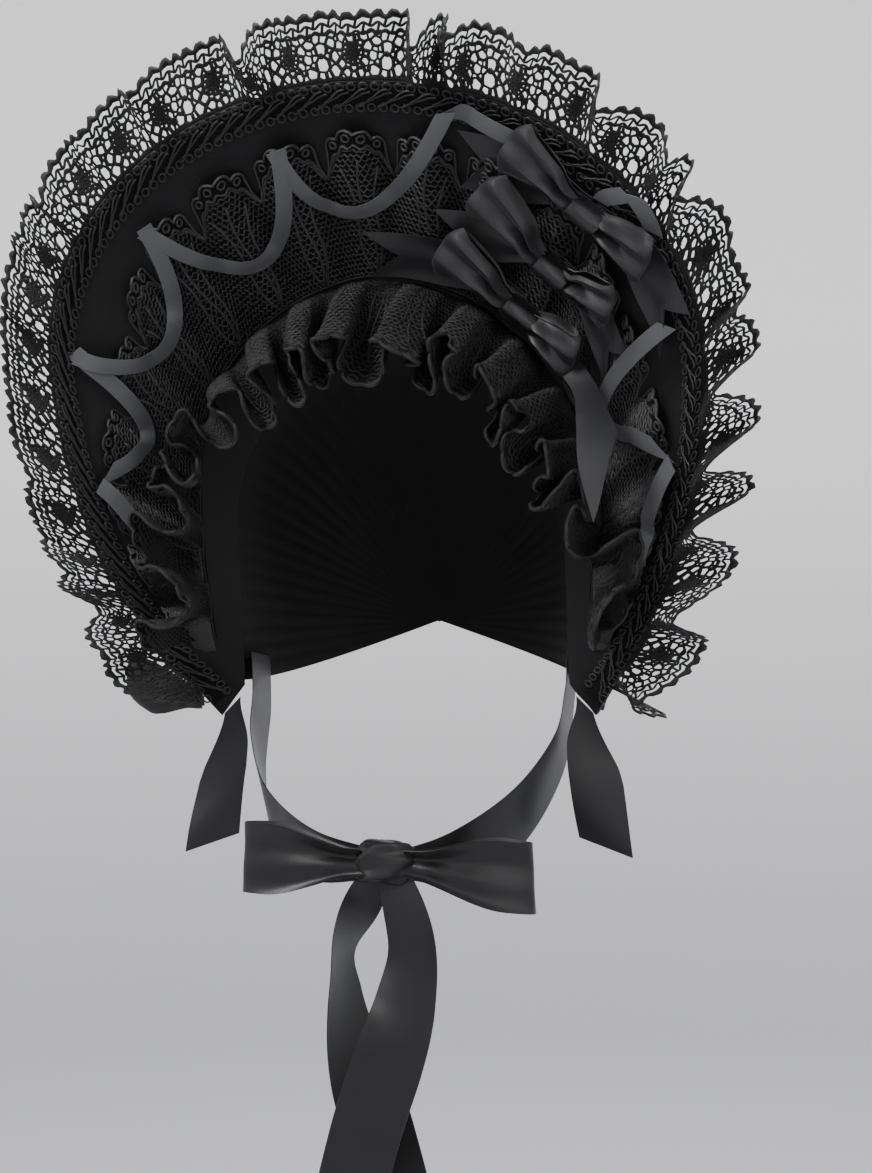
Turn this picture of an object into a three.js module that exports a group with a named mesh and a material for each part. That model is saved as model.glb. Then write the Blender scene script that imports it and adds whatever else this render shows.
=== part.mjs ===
// Frilled dress bonnet: a stiff flared brim with gimp braid, a gathered lace edge, two
// lace frills, a ribbon laid in swags, three ribbon bows, a soft cap and a chin ribbon.
// Millimetres, +Z up, the face looks along -Y and +X is the viewer's right.
// The origin is where the cap sits on the top of the head.
import * as THREE from 'three';
import { mergeVertices } from 'three/addons/utils/BufferGeometryUtils.js';

// ---------------------------------------------------------------- driving sizes
const GAP = 0.3;                 // clearance left between pieces that are sewn together

const RIM = {                    // outer edge of the brim
  halfWidth: 183,
  rise: 148,                     // height above the widest place
  drop: 235,                     // half height of the ellipse below the widest place
  centreZ: -12,
  foldAngle: 42,                 // how far below the widest place the ellipse runs, degrees
  straightRun: 40,               // straight stretch at each end
  straightFrom: 0.9,             // share of each side that the ellipse takes
  topY: -118,
  endY: 18,
  sweep: 2.1,                    // how late the sides sweep back
};
const FACE = {                   // inner edge of the brim, round the head
  radius: 98,
  centreZ: -92,
  leg: 92,                       // straight stretch below the arch
  topY: -13,
  endY: 16,
  sweep: 1.6,
};
const BRIM_WALL = 3;
const BRIM_FACETS = 64;          // facets along the brim, shared by what lies flat on it
const BRAID = { width: 15, wall: 2.2, inset: 0.5 };
const CAP = {                    // soft cap behind the brim
  wall: 1.5,
  backY: 114,
  napeZ: -145,
  inset: 5,                      // its edge, outward of the brim's inner edge
  setBack: 2.7,
  fullness: 0.8,                 // exponent of the oval; less is rounder
  reach: 0.98,                   // share of the brim's length that it covers
  facetsRound: 32,
  facetsBack: 8,
};
const EDGE_LACE = {              // gathered lace beyond the rim
  width: 39,
  wall: 1.2,
  flutes: 27,
  facetsPerFlute: 5,
  reach: 0.94,
};
const EDGE_SWING = [             // degrees that its flutes swing to and fro
  { t: -1, swing: 19 },
  { t: 0.4, swing: 19 },
  { t: 0.6, swing: 40 },
  { t: 0.85, swing: 40 },
  { t: 0.92, swing: 15 },
];
const SEAM = {                   // line where both inner frills are sewn, from the face edge
  topFromFace: 52,
  endFromFace: 12,
  sweep: 1.2,
  halfGap: 1.5,                  // from the line to each frill's sewn edge
};
const COLLAR = {                 // the inner frill that lies outward on the brim
  width: 90,                     // over the top of the head
  sideWidth: 68,                 // at the sides
  wideTo: 0.3,                   // place on the brim where it begins to narrow
  narrowFrom: 0.5,               // place where it has narrowed
  wall: 1.2,
  flutes: 19,
  facetsPerFlute: 6,
  rise: 1.6,                     // height of its flutes
  rimMargin: 19,
  reach: 0.9,
};
const FRILL = {                  // the inner frill that stands off round the face
  width: 78,
  endShare: 0.25,                // how much narrower it is at its ends
  wall: 1.2,
  flutes: 21,
  facetsPerFlute: 6,
  swing: 13,
  reach: 0.9,
};
const SWAG = { width: 9.5, wall: 0.8, facets: 10 };
const SWALLOW_NOTCH = 0.22;      // depth of the cut at a ribbon's end, as a share of its length
const BOW = {                    // the three bows on the brim
  ribbon: 35,
  wall: 0.8,
  root: 12,                      // width of the gathered ribbon beside the knot
  depth: 6,                      // half height of a loop at its fullest
  rootShare: 0.2,                // share of that height beside the knot
  tailRoot: 8.4,                 // width of a tail where it leaves the knot
  tailStart: 2,
  knot: { along: 10.5, across: 8, up: 7 },
};
const CHIN = {                   // the ribbon tied under the chin
  ribbon: 38,
  wall: 0.8,
  root: 14,
  knot: { x: 11, y: -82, z: -279 },
  knotSize: { along: 14, across: 11, up: 9 },
  loopDepth: 6,
  rootShare: 0.35,               // share of that depth beside the knot
  tailEndZ: -456,
};

const KNOT_FACETS = { round: 14, high: 8 };

// ---------------------------------------------------------------- small helpers
const rad = THREE.MathUtils.degToRad;
const lerp = THREE.MathUtils.lerp;
const vec = (x, y, z) => new THREE.Vector3(x, y, z);

// value of a table column at a place, by straight steps between rows
function fromTable(rows, key, column, at) {
  const last = rows.length - 1;
  if (at <= rows[0][key]) return rows[0][column];
  if (at >= rows[last][key]) return rows[last][column];
  const k = rows.findIndex((row) => row[key] >= at);
  const share = (at - rows[k - 1][key]) / (rows[k][key] - rows[k - 1][key]);
  return lerp(rows[k - 1][column], rows[k][column], share);
}

// closed solid between two grids of points, front(i, j) and back(i, j)
function slab(front, back, cols, rows) {
  const side = (cols + 1) * (rows + 1);
  const points = [];
  for (const grid of [front, back]) {
    for (let i = 0; i <= cols; i += 1) {
      for (let j = 0; j <= rows; j += 1) points.push(grid(i / cols, j / rows));
    }
  }
  const at = (layer, i, j) => layer * side + i * (rows + 1) + j;
  const faces = [];
  const quad = (a, b, c, d) => faces.push([a, b, c], [a, c, d]);
  for (let i = 0; i < cols; i += 1) {
    for (let j = 0; j < rows; j += 1) {
      quad(at(0, i, j), at(0, i + 1, j), at(0, i + 1, j + 1), at(0, i, j + 1));
      quad(at(1, i, j), at(1, i, j + 1), at(1, i + 1, j + 1), at(1, i + 1, j));
    }
    quad(at(0, i, 0), at(1, i, 0), at(1, i + 1, 0), at(0, i + 1, 0));
    quad(at(0, i, rows), at(0, i + 1, rows), at(1, i + 1, rows), at(1, i, rows));
  }
  for (let j = 0; j < rows; j += 1) {
    quad(at(0, 0, j), at(0, 0, j + 1), at(1, 0, j + 1), at(1, 0, j));
    quad(at(0, cols, j), at(1, cols, j), at(1, cols, j + 1), at(0, cols, j + 1));
  }
  return closedGeometry(points, faces);
}

// merges equal points, drops faces that have shrunk to a line and turns the faces outward
function closedGeometry(points, faces) {
  const raw = new THREE.BufferGeometry().setFromPoints(points);
  raw.setIndex(faces.flat());
  const merged = mergeVertices(raw, 1e-4);
  const index = merged.getIndex().array;
  const kept = [];
  for (let k = 0; k < index.length; k += 3) {
    const [a, b, c] = [index[k], index[k + 1], index[k + 2]];
    if (a !== b && b !== c && c !== a) kept.push(a, b, c);
  }
  merged.setIndex(signedVolume(merged, kept) > 0 ? kept : kept.reverse());
  merged.computeVertexNormals();
  return merged;
}

function signedVolume(geometry, index) {
  const at = (k) => new THREE.Vector3().fromBufferAttribute(geometry.attributes.position, k);
  let sum = 0;
  for (let k = 0; k < index.length; k += 3) {
    sum += at(index[k]).dot(at(index[k + 1]).cross(at(index[k + 2])));
  }
  return sum / 6;
}

// sheet of a given wall round a surface(u, v), its thickness measured along the normal
function sheet(surface, cols, rows, wall) {
  const step = 1e-3;
  const offset = (u, v, distance) => {
    const u0 = Math.max(0, u - step);
    const v0 = Math.max(0, v - step);
    const alongU = surface(Math.min(1, u + step), v).sub(surface(u0, v));
    const alongV = surface(u, Math.min(1, v + step)).sub(surface(u, v0));
    const normal = alongU.cross(alongV).normalize();
    return surface(u, v).addScaledVector(normal, distance);
  };
  const front = (u, v) => offset(u, v, wall / 2);
  const back = (u, v) => offset(u, v, -wall / 2);
  return slab(front, back, cols, rows);
}

// ---------------------------------------------------------------- brim surface
// t runs from -1 at the left end over the top, 0, to 1 at the right end
function rimPoint(t) {
  const share = Math.min(Math.abs(t) / RIM.straightFrom, 1);
  const angle = rad(90 - (90 + RIM.foldAngle) * share);
  const height = Math.sin(angle) > 0 ? RIM.rise : RIM.drop;
  const y = lerp(RIM.topY, RIM.endY, Math.abs(t) ** RIM.sweep);
  const point = vec(RIM.halfWidth * Math.cos(angle), y, RIM.centreZ + height * Math.sin(angle));
  const beyond = Math.max(0, Math.abs(t) - RIM.straightFrom) / (1 - RIM.straightFrom);
  const tangent = vec(RIM.halfWidth * Math.sin(angle), 0, -height * Math.cos(angle)).normalize();
  point.addScaledVector(tangent, RIM.straightRun * beyond);
  point.x *= Math.sign(t);
  return point;
}

function facePoint(t) {
  const arch = (Math.PI / 2) * FACE.radius;
  const run = (arch + FACE.leg) * Math.abs(t);
  const angle = Math.min(run, arch) / FACE.radius;
  const below = Math.max(0, run - arch);
  const y = lerp(FACE.topY, FACE.endY, Math.abs(t) ** FACE.sweep);
  const z = FACE.centreZ + FACE.radius * Math.cos(angle) - below;
  return vec(Math.sign(t) * FACE.radius * Math.sin(angle), y, z);
}

const rulingLength = (t) => rimPoint(t).distanceTo(facePoint(t));
const outward = (t) => rimPoint(t).sub(facePoint(t)).normalize();

// point a distance in from the rim, before it is lifted off the brim
const flatPoint = (t, inset) => rimPoint(t).addScaledVector(outward(t), -inset);

// direction that points off the brim toward the wearer's face side
function offBrim(t, inset) {
  const step = 1e-3;
  const along = flatPoint(t + step, inset).sub(flatPoint(t - step, inset));
  const normal = along.cross(outward(t)).normalize();
  return normal.y > 0 ? normal.negate() : normal;
}

const onBrim = (t, inset, lift) => flatPoint(t, inset).addScaledVector(offBrim(t, inset), lift);

const seamFromFace = (t) => lerp(SEAM.topFromFace, SEAM.endFromFace, Math.abs(t) ** SEAM.sweep);
const seamInset = (t) => rulingLength(t) - seamFromFace(t);

// ---------------------------------------------------------------- finishes
const finish = (color, roughness, metalness = 0) =>
  new THREE.MeshStandardMaterial({ color, roughness, metalness });
const BRIM_CLOTH = finish('#141416', 0.7);
const CAP_CLOTH = finish('#121214', 0.85);
const COTTON_LACE = finish('#18181b', 0.95);
const CORDED_LACE = finish('#151517', 0.92);
const GIMP = finish('#1c1c1f', 0.7);
const SATIN_RIBBON = finish('#26262b', 0.35);

const bonnet = new THREE.Group();
bonnet.name = 'bonnet';

function add(name, geometry, material) {
  const mesh = new THREE.Mesh(geometry, material);
  mesh.name = name;
  bonnet.add(mesh);
}

// ---------------------------------------------------------------- brim, braid and cap
const across = (u, from = 1) => lerp(-from, from, u);

// the first row of facets is the strip that the braid lies on
function brimGeometry() {
  const rows = 3;
  const strip = BRAID.inset + BRAID.width;
  const insetAt = (t, v) => (v * rows <= 1
    ? v * rows * strip
    : lerp(strip, rulingLength(t), (v * rows - 1) / (rows - 1)));
  const face = (lift) => (u, v) => onBrim(across(u), insetAt(across(u), v), lift);
  return slab(face(BRIM_WALL / 2), face(-BRIM_WALL / 2), BRIM_FACETS, rows);
}

function braidGeometry() {
  const base = BRIM_WALL / 2 + GAP;
  const reach = 1 - 2 / BRIM_FACETS;
  const face = (lift) => (u, v) => onBrim(across(u, reach), BRAID.inset + v * BRAID.width, lift);
  return slab(face(base + BRAID.wall), face(base), BRIM_FACETS - 2, 1);
}

// quarter ovals from the brim's back to one point over the nape
function capGeometry() {
  const pole = vec(0, CAP.backY, CAP.napeZ);
  const surface = (u, v) => {
    const t = across(u, CAP.reach);
    const edge = onBrim(t, rulingLength(t) - CAP.inset, -CAP.setBack);
    const centre = vec(0, edge.y, CAP.napeZ);
    const turn = (Math.PI / 2) * v;
    const out = Math.max(0, Math.cos(turn)) ** CAP.fullness;
    const aft = Math.sin(turn) ** CAP.fullness;
    return centre.clone()
      .addScaledVector(edge.sub(centre), out)
      .addScaledVector(pole.clone().sub(centre), aft);
  };
  return sheet(surface, CAP.facetsRound, CAP.facetsBack, CAP.wall);
}

// ---------------------------------------------------------------- lace
// a lace edge sewn along a line; each flute leans by an angle between the outward
// direction and the brim's normal
function laceGeometry({ at, lean, width, wall, lift, reach, cols, rows, towardFace = false }) {
  const surface = (u, v) => {
    const t = across(u, reach);
    const inset = at(t);
    const away = outward(t).multiplyScalar(towardFace ? -1 : 1);
    const off = offBrim(t, inset);
    const angle = rad(lean(t, u));
    const length = width(t) * v;
    return onBrim(t, inset, lift)
      .addScaledVector(away, length * Math.cos(angle))
      .addScaledVector(off, length * Math.sin(angle));
  };
  return sheet(surface, cols, rows, wall);
}

function edgeLaceGeometry() {
  const swingAt = (t) => fromTable(EDGE_SWING, 't', 'swing', t);
  return laceGeometry({
    at: () => -(GAP + EDGE_LACE.wall / 2),
    lean: (t, u) => swingAt(t) * Math.sin(2 * Math.PI * EDGE_LACE.flutes * u),
    width: () => EDGE_LACE.width,
    wall: EDGE_LACE.wall,
    lift: 0,
    reach: EDGE_LACE.reach,
    cols: EDGE_LACE.flutes * EDGE_LACE.facetsPerFlute,
    rows: 1,
  });
}

function collarGeometry() {
  const base = BRIM_WALL / 2 + GAP + COLLAR.wall / 2;
  const spread = (t) => {
    const side = THREE.MathUtils.smoothstep(Math.abs(t), COLLAR.wideTo, COLLAR.narrowFrom);
    const full = THREE.MathUtils.lerp(COLLAR.width, COLLAR.sideWidth, side);
    return Math.min(full, seamInset(t) - COLLAR.rimMargin);
  };
  return laceGeometry({
    at: (t) => seamInset(t) - SEAM.halfGap,
    lean: (t, u) => {
      const crest = 0.5 - 0.5 * Math.cos(2 * Math.PI * COLLAR.flutes * u);
      return THREE.MathUtils.radToDeg(Math.atan2(COLLAR.rise * crest + GAP, spread(t)));
    },
    width: spread,
    wall: COLLAR.wall,
    lift: base,
    reach: COLLAR.reach,
    cols: COLLAR.flutes * COLLAR.facetsPerFlute,
    rows: 1,
  });
}

const FRILL_LEAN = [              // how the face frill stands, from the brim's plane
  { t: 0, lean: 68 },
  { t: 0.5, lean: 100 },
  { t: 0.62, lean: 114 },
  { t: 0.74, lean: 134 },
  { t: 1, lean: 140 },
];

function frillGeometry() {
  return laceGeometry({
    at: (t) => seamInset(t) + SEAM.halfGap,
    lean: (t, u) => fromTable(FRILL_LEAN, 't', 'lean', Math.abs(t))
      + FRILL.swing * Math.sin(2 * Math.PI * FRILL.flutes * u),
    width: (t) => FRILL.width * (1 - FRILL.endShare * Math.abs(t)),
    wall: FRILL.wall,
    lift: BRIM_WALL / 2 + GAP + FRILL.wall,
    reach: FRILL.reach,
    cols: FRILL.flutes * FRILL.facetsPerFlute,
    rows: 1,
    towardFace: true,
  });
}

// ---------------------------------------------------------------- ribbons
// strip of ribbon along path(u), which gives its middle, its side direction and its width;
// a notch cuts the far end to a swallow tail, as a share of the length
function ribbonGeometry(path, { cols, rows = 1, wall, notch = 0 }) {
  const surface = (u, v) => {
    const reach = u * (1 - notch * (1 - Math.abs(2 * v - 1)));
    const { middle, side, width } = path(reach);
    return middle.clone().addScaledVector(side, width * (v - 0.5));
  };
  return sheet(surface, cols, rows, wall);
}

// place on the brim a distance along and outward from an anchor, both in millimetres
function besideOnBrim(anchor, along, out, lift) {
  const step = 1e-3;
  const scale = flatPoint(anchor.t + step, anchor.inset)
    .distanceTo(flatPoint(anchor.t - step, anchor.inset)) / (2 * step);
  return onBrim(anchor.t + along / scale, anchor.inset - out, lift);
}

// Swags of the narrow ribbon. Each runs from one fold near the rim down to its lowest
// place and up to the next fold; insets are distances from the rim.
const SWAGS = [
  { fromT: -0.72, fromInset: 14, toT: -0.735, toInset: 50, depth: 33, lift: 4.8, endLift: 6.8, rise: 2 },
  { fromT: -0.684, fromInset: 15, toT: -0.543, toInset: 16, depth: 67, lift: 5.6, endLift: 6.8, rise: 2 },
  { fromT: -0.543, fromInset: 16, toT: -0.317, toInset: 24, depth: 73, lift: 5.6, endLift: 6.8, rise: 2 },
  { fromT: -0.317, fromInset: 24, toT: -0.106, toInset: 24, depth: 83, lift: 5.6, endLift: 6.8, rise: 2 },
  { fromT: -0.106, fromInset: 24, toT: 0.12, toInset: 8, depth: 68, lift: 5.6, endLift: 6.2, rise: 2 },
  { fromT: 0.12, fromInset: 8, toT: 0.26, toInset: 12, depth: 9, lift: 4.8, endLift: 4.8, rise: 0 },
  { fromT: 0.38, fromInset: 10, toT: 0.45, toInset: 12, depth: 6, lift: 4.8, endLift: 4.8, rise: 0 },
  { fromT: 0.53, fromInset: 20, toT: 0.684, toInset: 15, depth: 80, lift: 5.6, endLift: 7, rise: 2 },
  { fromT: 0.69, fromInset: 15, toT: 0.8, toInset: 15, depth: 22, lift: 5.4, endLift: 5.4, rise: 0 },
];

function swagGeometry(row) {
  const low = (8 * row.depth - row.fromInset - row.toInset) / 6;
  const span = row.toT - row.fromT;
  const curve = new THREE.CubicBezierCurve(
    new THREE.Vector2(row.fromT, row.fromInset),
    new THREE.Vector2(row.fromT + span / 4, low),
    new THREE.Vector2(row.toT - span / 4, low),
    new THREE.Vector2(row.toT, row.toInset),
  );
  const pointAt = (u) => {
    const place = curve.getPoint(THREE.MathUtils.clamp(u, 0, 1));
    const lift = lerp(row.lift, row.endLift, u) + row.rise * Math.sin(Math.PI * u);
    return { place, point: onBrim(place.x, place.y, lift) };
  };
  const path = (u) => {
    const { place, point } = pointAt(u);
    const along = pointAt(u + 0.01).point.sub(pointAt(u - 0.01).point);
    const side = along.cross(offBrim(place.x, place.y)).normalize();
    return { middle: point, side, width: SWAG.width };
  };
  return ribbonGeometry(path, { cols: SWAG.facets, wall: SWAG.wall });
}

// Bows on the brim, from the rim inward. The tilt turns the right loop toward the rim.
const BOWS = [
  { name: 'bow_1', t: 0.335, inset: 21, tilt: 5, tailLift: 6, leftLoop: 48, rightLoop: 51 },
  { name: 'bow_2', t: 0.32, inset: 61, tilt: 5, tailLift: 5.8, leftLoop: 49, rightLoop: 42 },
  { name: 'bow_3', t: 0.29, inset: 97, tilt: 2, tailLift: 4.3, leftLoop: 48, rightLoop: 40 },
];
// Where the tails end, from the knot: along the rim, outward, and lift at the tip.
const BOW_TAILS = [
  { bow: 'bow_1', name: 'tail_left', along: -80, out: -6, tipLift: 7, width: 32 },
  { bow: 'bow_1', name: 'tail_right', along: 98, out: 6, tipLift: 10, width: 24 },
  { bow: 'bow_2', name: 'tail_left', along: -78, out: -12, tipLift: 6.2, width: 26 },
  { bow: 'bow_2', name: 'tail_right', along: 66, out: -12, tipLift: 6.2, width: 24 },
  { bow: 'bow_3', name: 'tail_left', along: -98, out: 4, tipLift: 4.8, width: 26 },
];

const TAIL_SPREAD = 1.6;          // how soon a tail opens to its full width
const knotLift = (bow) => bow.tailLift + BOW.wall / 2 + GAP + BOW.knot.up;

function onBow(bow, along, out, lift) {
  const tilt = rad(bow.tilt);
  const turnedAlong = along * Math.cos(tilt) - out * Math.sin(tilt);
  const turnedOut = along * Math.sin(tilt) + out * Math.cos(tilt);
  return besideOnBrim(bow, turnedAlong, turnedOut, lift);
}

// ribbon out along the back of a loop, round its end and back along the front
function bowLoopGeometry(bow, direction) {
  const start = BOW.knot.along + BOW.wall + GAP;
  const length = direction > 0 ? bow.rightLoop : bow.leftLoop;
  const surface = (u, v) => {
    const swell = Math.sin(Math.PI * u);
    const along = direction * (start + length * swell);
    const width = lerp(BOW.root, BOW.ribbon, swell);
    const rise = -BOW.depth * Math.cos(Math.PI * u) * lerp(BOW.rootShare, 1, swell);
    return onBow(bow, along, width * (v - 0.5), knotLift(bow) + rise);
  };
  return sheet(surface, 12, 2, BOW.wall);
}

function bowKnotGeometry(bow) {
  const centre = onBow(bow, 0, 0, knotLift(bow));
  const along = onBow(bow, 1, 0, knotLift(bow)).sub(centre).normalize();
  const up = offBrim(bow.t, bow.inset);
  const out = up.clone().cross(along).normalize();
  return ellipsoidGeometry(centre, { along, out, up }, BOW.knot);
}

function ellipsoidGeometry(centre, axes, size) {
  const sphere = new THREE.SphereGeometry(1, KNOT_FACETS.round, KNOT_FACETS.high);
  const place = sphere.attributes.position;
  const points = [];
  for (let k = 0; k < place.count; k += 1) {
    points.push(centre.clone()
      .addScaledVector(axes.along, size.along * place.getX(k))
      .addScaledVector(axes.out, size.across * place.getY(k))
      .addScaledVector(axes.up, size.up * place.getZ(k)));
  }
  const index = Array.from(sphere.getIndex().array);
  const faces = [];
  for (let k = 0; k < index.length; k += 3) faces.push(index.slice(k, k + 3));
  return closedGeometry(points, faces);
}

function bowTailGeometry(bow, tail) {
  const direction = Math.sign(tail.along);
  const surface = (u, v) => {
    const reach = u * (1 - SWALLOW_NOTCH * (1 - Math.abs(2 * v - 1)));
    const width = lerp(BOW.tailRoot, tail.width, Math.min(1, reach * TAIL_SPREAD));
    const along = lerp(direction * BOW.tailStart, tail.along, reach);
    const lift = lerp(bow.tailLift, tail.tipLift, reach);
    return onBow(bow, along, tail.out * reach + width * (v - 0.5), lift);
  };
  return sheet(surface, 6, 2, BOW.wall);
}

// The lowest bow's right tail falls beside the face frill and turns to face this way.
const FALL_FACING = vec(0.25, -0.95, 0.15);
const FALLING_TAIL = [
  { x: 88, y: -50, z: 20, width: 9 },
  { x: 86.9, y: -44.6, z: 12, width: 9 },
  { x: 88, y: -46.3, z: 1, width: 9 },
  { x: 93.5, y: -58.5, z: -14, width: 13 },
  { x: 109, y: -73.5, z: -36, width: 23 },
  { x: 123, y: -82, z: -58, width: 30 },
  { x: 132, y: -87, z: -83, width: 30 },
];

// route through the rows of a table, with its width and, where given, its side's turn
function tableRoute(rows) {
  const curve = new THREE.CatmullRomCurve3(rows.map((row) => vec(row.x, row.y, row.z)));
  const steps = rows.map((row, k) => ({ ...row, k }));
  return (u) => {
    const at = THREE.MathUtils.clamp(u, 0, 1);
    return {
      middle: curve.getPoint(at),
      along: curve.getTangent(at),
      width: fromTable(steps, 'k', 'width', at * (rows.length - 1)),
      turn: fromTable(steps, 'k', 'turn', at * (rows.length - 1)),
    };
  };
}

function fallingTailGeometry() {
  const route = tableRoute(FALLING_TAIL);
  const bow = BOWS[2];
  const path = (u) => {
    const { middle, along, width } = route(u);
    const facing = offBrim(bow.t, bow.inset).lerp(FALL_FACING, Math.min(1, 2 * u));
    return { middle, side: along.cross(facing).normalize(), width };
  };
  return ribbonGeometry(path, { cols: 8, rows: 2, wall: BOW.wall, notch: SWALLOW_NOTCH });
}

// ---------------------------------------------------------------- chin ribbon
// Left and right ties run inside the cap's edge, down the cheeks and under the chin. The
// turn is that of the ribbon's width, from level to upright. x is mirrored on the left.
const TIE = [
  { x: 95.4, y: 40, z: -166, turn: 0, width: 38 },
  { x: 94, y: 37, z: -194, turn: 8, width: 38 },
  { x: 90, y: 14, z: -226, turn: 38, width: 38 },
  { x: 72, y: -28, z: -258, turn: 62, width: 38 },
  { x: 42, y: -62, z: -277, turn: 80, width: 30 },
  { x: 8, y: -74.3, z: -281, turn: 90, width: 16 },
];

const TIE_DRIFT = 3;              // how late the ties turn toward the knot, which is off centre

function tieGeometry(hand) {
  const rows = TIE.map((row, k) => ({
    ...row,
    x: hand * row.x + CHIN.knot.x * (k / (TIE.length - 1)) ** TIE_DRIFT,
  }));
  const route = tableRoute(rows);
  const path = (u) => {
    const { middle, along, width, turn } = route(u);
    const level = vec(0, Math.cos(rad(turn)), -Math.sin(rad(turn)));
    const side = level.addScaledVector(along, -level.dot(along)).normalize();
    return { middle, side, width };
  };
  return ribbonGeometry(path, { cols: 16, wall: CHIN.wall });
}

const CHIN_LOOPS = [
  { name: 'chin_loop_left', hand: -1, length: 66, endY: -84, endZ: -276 },
  { name: 'chin_loop_right', hand: 1, length: 66, endY: -66, endZ: -288 },
];

function chinLoopGeometry(row) {
  const start = CHIN.knotSize.along + GAP;
  const surface = (u, v) => {
    const swell = Math.sin(Math.PI * u);
    const width = lerp(CHIN.root, CHIN.ribbon, swell);
    const depth = CHIN.loopDepth * Math.cos(Math.PI * u) * lerp(CHIN.rootShare, 1, swell);
    return vec(
      CHIN.knot.x + row.hand * (start + row.length * swell),
      lerp(CHIN.knot.y, row.endY, swell) + depth,
      lerp(CHIN.knot.z, row.endZ, swell) + width * (v - 0.5),
    );
  };
  return sheet(surface, 14, 1, CHIN.wall);
}

function chinKnotGeometry() {
  const centre = vec(CHIN.knot.x, CHIN.knot.y, CHIN.knot.z);
  const axes = { along: vec(1, 0, 0), out: vec(0, 0, 1), up: vec(0, -1, 0) };
  return ellipsoidGeometry(centre, axes, CHIN.knotSize);
}

// The tails hang from the knot and cross; the turn swings the ribbon's width away from
// the viewer's plane.
const CHIN_TAIL_LEFT = [
  { x: 5, y: -80.5, z: -289.6, turn: 5, width: 16 },
  { x: -13, y: -80, z: -326, turn: 55, width: 34 },
  { x: -14, y: -77, z: -358, turn: 50, width: 38 },
  { x: -12, y: -74, z: -385, turn: 35, width: 38 },
  { x: 0, y: -72, z: -420, turn: 15, width: 38 },
  { x: 15, y: -72, z: CHIN.tailEndZ, turn: 0, width: 38 },
];
const CHIN_TAIL_RIGHT = [
  { x: 17, y: -84.5, z: -289.2, turn: -5, width: 16 },
  { x: 27, y: -92, z: -325, turn: -35, width: 34 },
  { x: 22, y: -94, z: -358, turn: -15, width: 38 },
  { x: 14, y: -95, z: -385, turn: 0, width: 38 },
  { x: 4, y: -94, z: -412, turn: 0, width: 38 },
  { x: -6, y: -93, z: CHIN.tailEndZ, turn: 0, width: 38 },
];

function chinTailGeometry(rows) {
  const route = tableRoute(rows);
  const path = (u) => {
    const { middle, along, width, turn } = route(u);
    const level = vec(Math.cos(rad(turn)), Math.sin(rad(turn)), 0);
    const side = level.addScaledVector(along, -level.dot(along)).normalize();
    return { middle, side, width };
  };
  return ribbonGeometry(path, { cols: 14, wall: CHIN.wall });
}

// ---------------------------------------------------------------- ribbon at the ends
// a folded loop that stands out sideways and an end that hangs down, on each side
const SIDE_LOOP = {
  t: 0.97,
  inset: -3,
  back: 2,
  length: 38,
  width: 33,
  depth: 5,
  rootShare: 0.4,                // share of the depth where it is sewn
  aft: 3,                        // how far its end lies behind its root
  level: -183,
};
const SIDE_TAIL = {
  inset: 11,
  drop: 2.6,
  length: 82,
  width: 34,
  swing: 12,
  slant: 0.35,
  forward: 2,
  spread: 2.5,                   // how soon it opens to its full width
};

function sideLoopGeometry(hand) {
  const root = onBrim(hand * SIDE_LOOP.t, SIDE_LOOP.inset, -SIDE_LOOP.back);
  const surface = (u, v) => {
    const swell = Math.sin(Math.PI * u);
    const width = lerp(CHIN.root, SIDE_LOOP.width, swell);
    const depth = SIDE_LOOP.depth * Math.cos(Math.PI * u) * lerp(SIDE_LOOP.rootShare, 1, swell);
    return vec(
      root.x + hand * SIDE_LOOP.length * swell,
      root.y + depth + SIDE_LOOP.aft * swell,
      lerp(root.z, SIDE_LOOP.level, swell) + width * (v - 0.5),
    );
  };
  return sheet(surface, 12, 1, CHIN.wall);
}

function sideTailGeometry(hand) {
  const root = onBrim(hand, SIDE_TAIL.inset, 0);
  const path = (u) => ({
    middle: vec(
      root.x + hand * SIDE_TAIL.swing * u,
      root.y - SIDE_TAIL.forward * u,
      root.z - SIDE_TAIL.drop - SIDE_TAIL.length * u,
    ),
    side: vec(hand, 0, -lerp(1, SIDE_TAIL.slant, Math.min(1, 2 * u))).normalize(),
    width: lerp(CHIN.root, SIDE_TAIL.width, Math.min(1, SIDE_TAIL.spread * u)),
  });
  return ribbonGeometry(path, { cols: 8, wall: CHIN.wall });
}

add('brim', brimGeometry(), BRIM_CLOTH);
add('crown', capGeometry(), CAP_CLOTH);
add('braid', braidGeometry(), GIMP);
add('edge_frill', edgeLaceGeometry(), COTTON_LACE);
add('lace_collar', collarGeometry(), CORDED_LACE);
add('face_frill', frillGeometry(), CORDED_LACE);
SWAGS.forEach((row, k) => add(`swag_${k + 1}`, swagGeometry(row), SATIN_RIBBON));
for (const bow of BOWS) {
  add(`${bow.name}_knot`, bowKnotGeometry(bow), SATIN_RIBBON);
  add(`${bow.name}_loop_left`, bowLoopGeometry(bow, -1), SATIN_RIBBON);
  add(`${bow.name}_loop_right`, bowLoopGeometry(bow, 1), SATIN_RIBBON);
  for (const tail of BOW_TAILS.filter((row) => row.bow === bow.name)) {
    add(`${bow.name}_${tail.name}`, bowTailGeometry(bow, tail), SATIN_RIBBON);
  }
}
add('bow_3_tail_right', fallingTailGeometry(), SATIN_RIBBON);
add('tie_left', tieGeometry(-1), SATIN_RIBBON);
add('tie_right', tieGeometry(1), SATIN_RIBBON);
add('chin_knot', chinKnotGeometry(), SATIN_RIBBON);
CHIN_LOOPS.forEach((row) => add(row.name, chinLoopGeometry(row), SATIN_RIBBON));
add('chin_tail_left', chinTailGeometry(CHIN_TAIL_LEFT), SATIN_RIBBON);
add('chin_tail_right', chinTailGeometry(CHIN_TAIL_RIGHT), SATIN_RIBBON);
add('side_loop_left', sideLoopGeometry(-1), SATIN_RIBBON);
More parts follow.
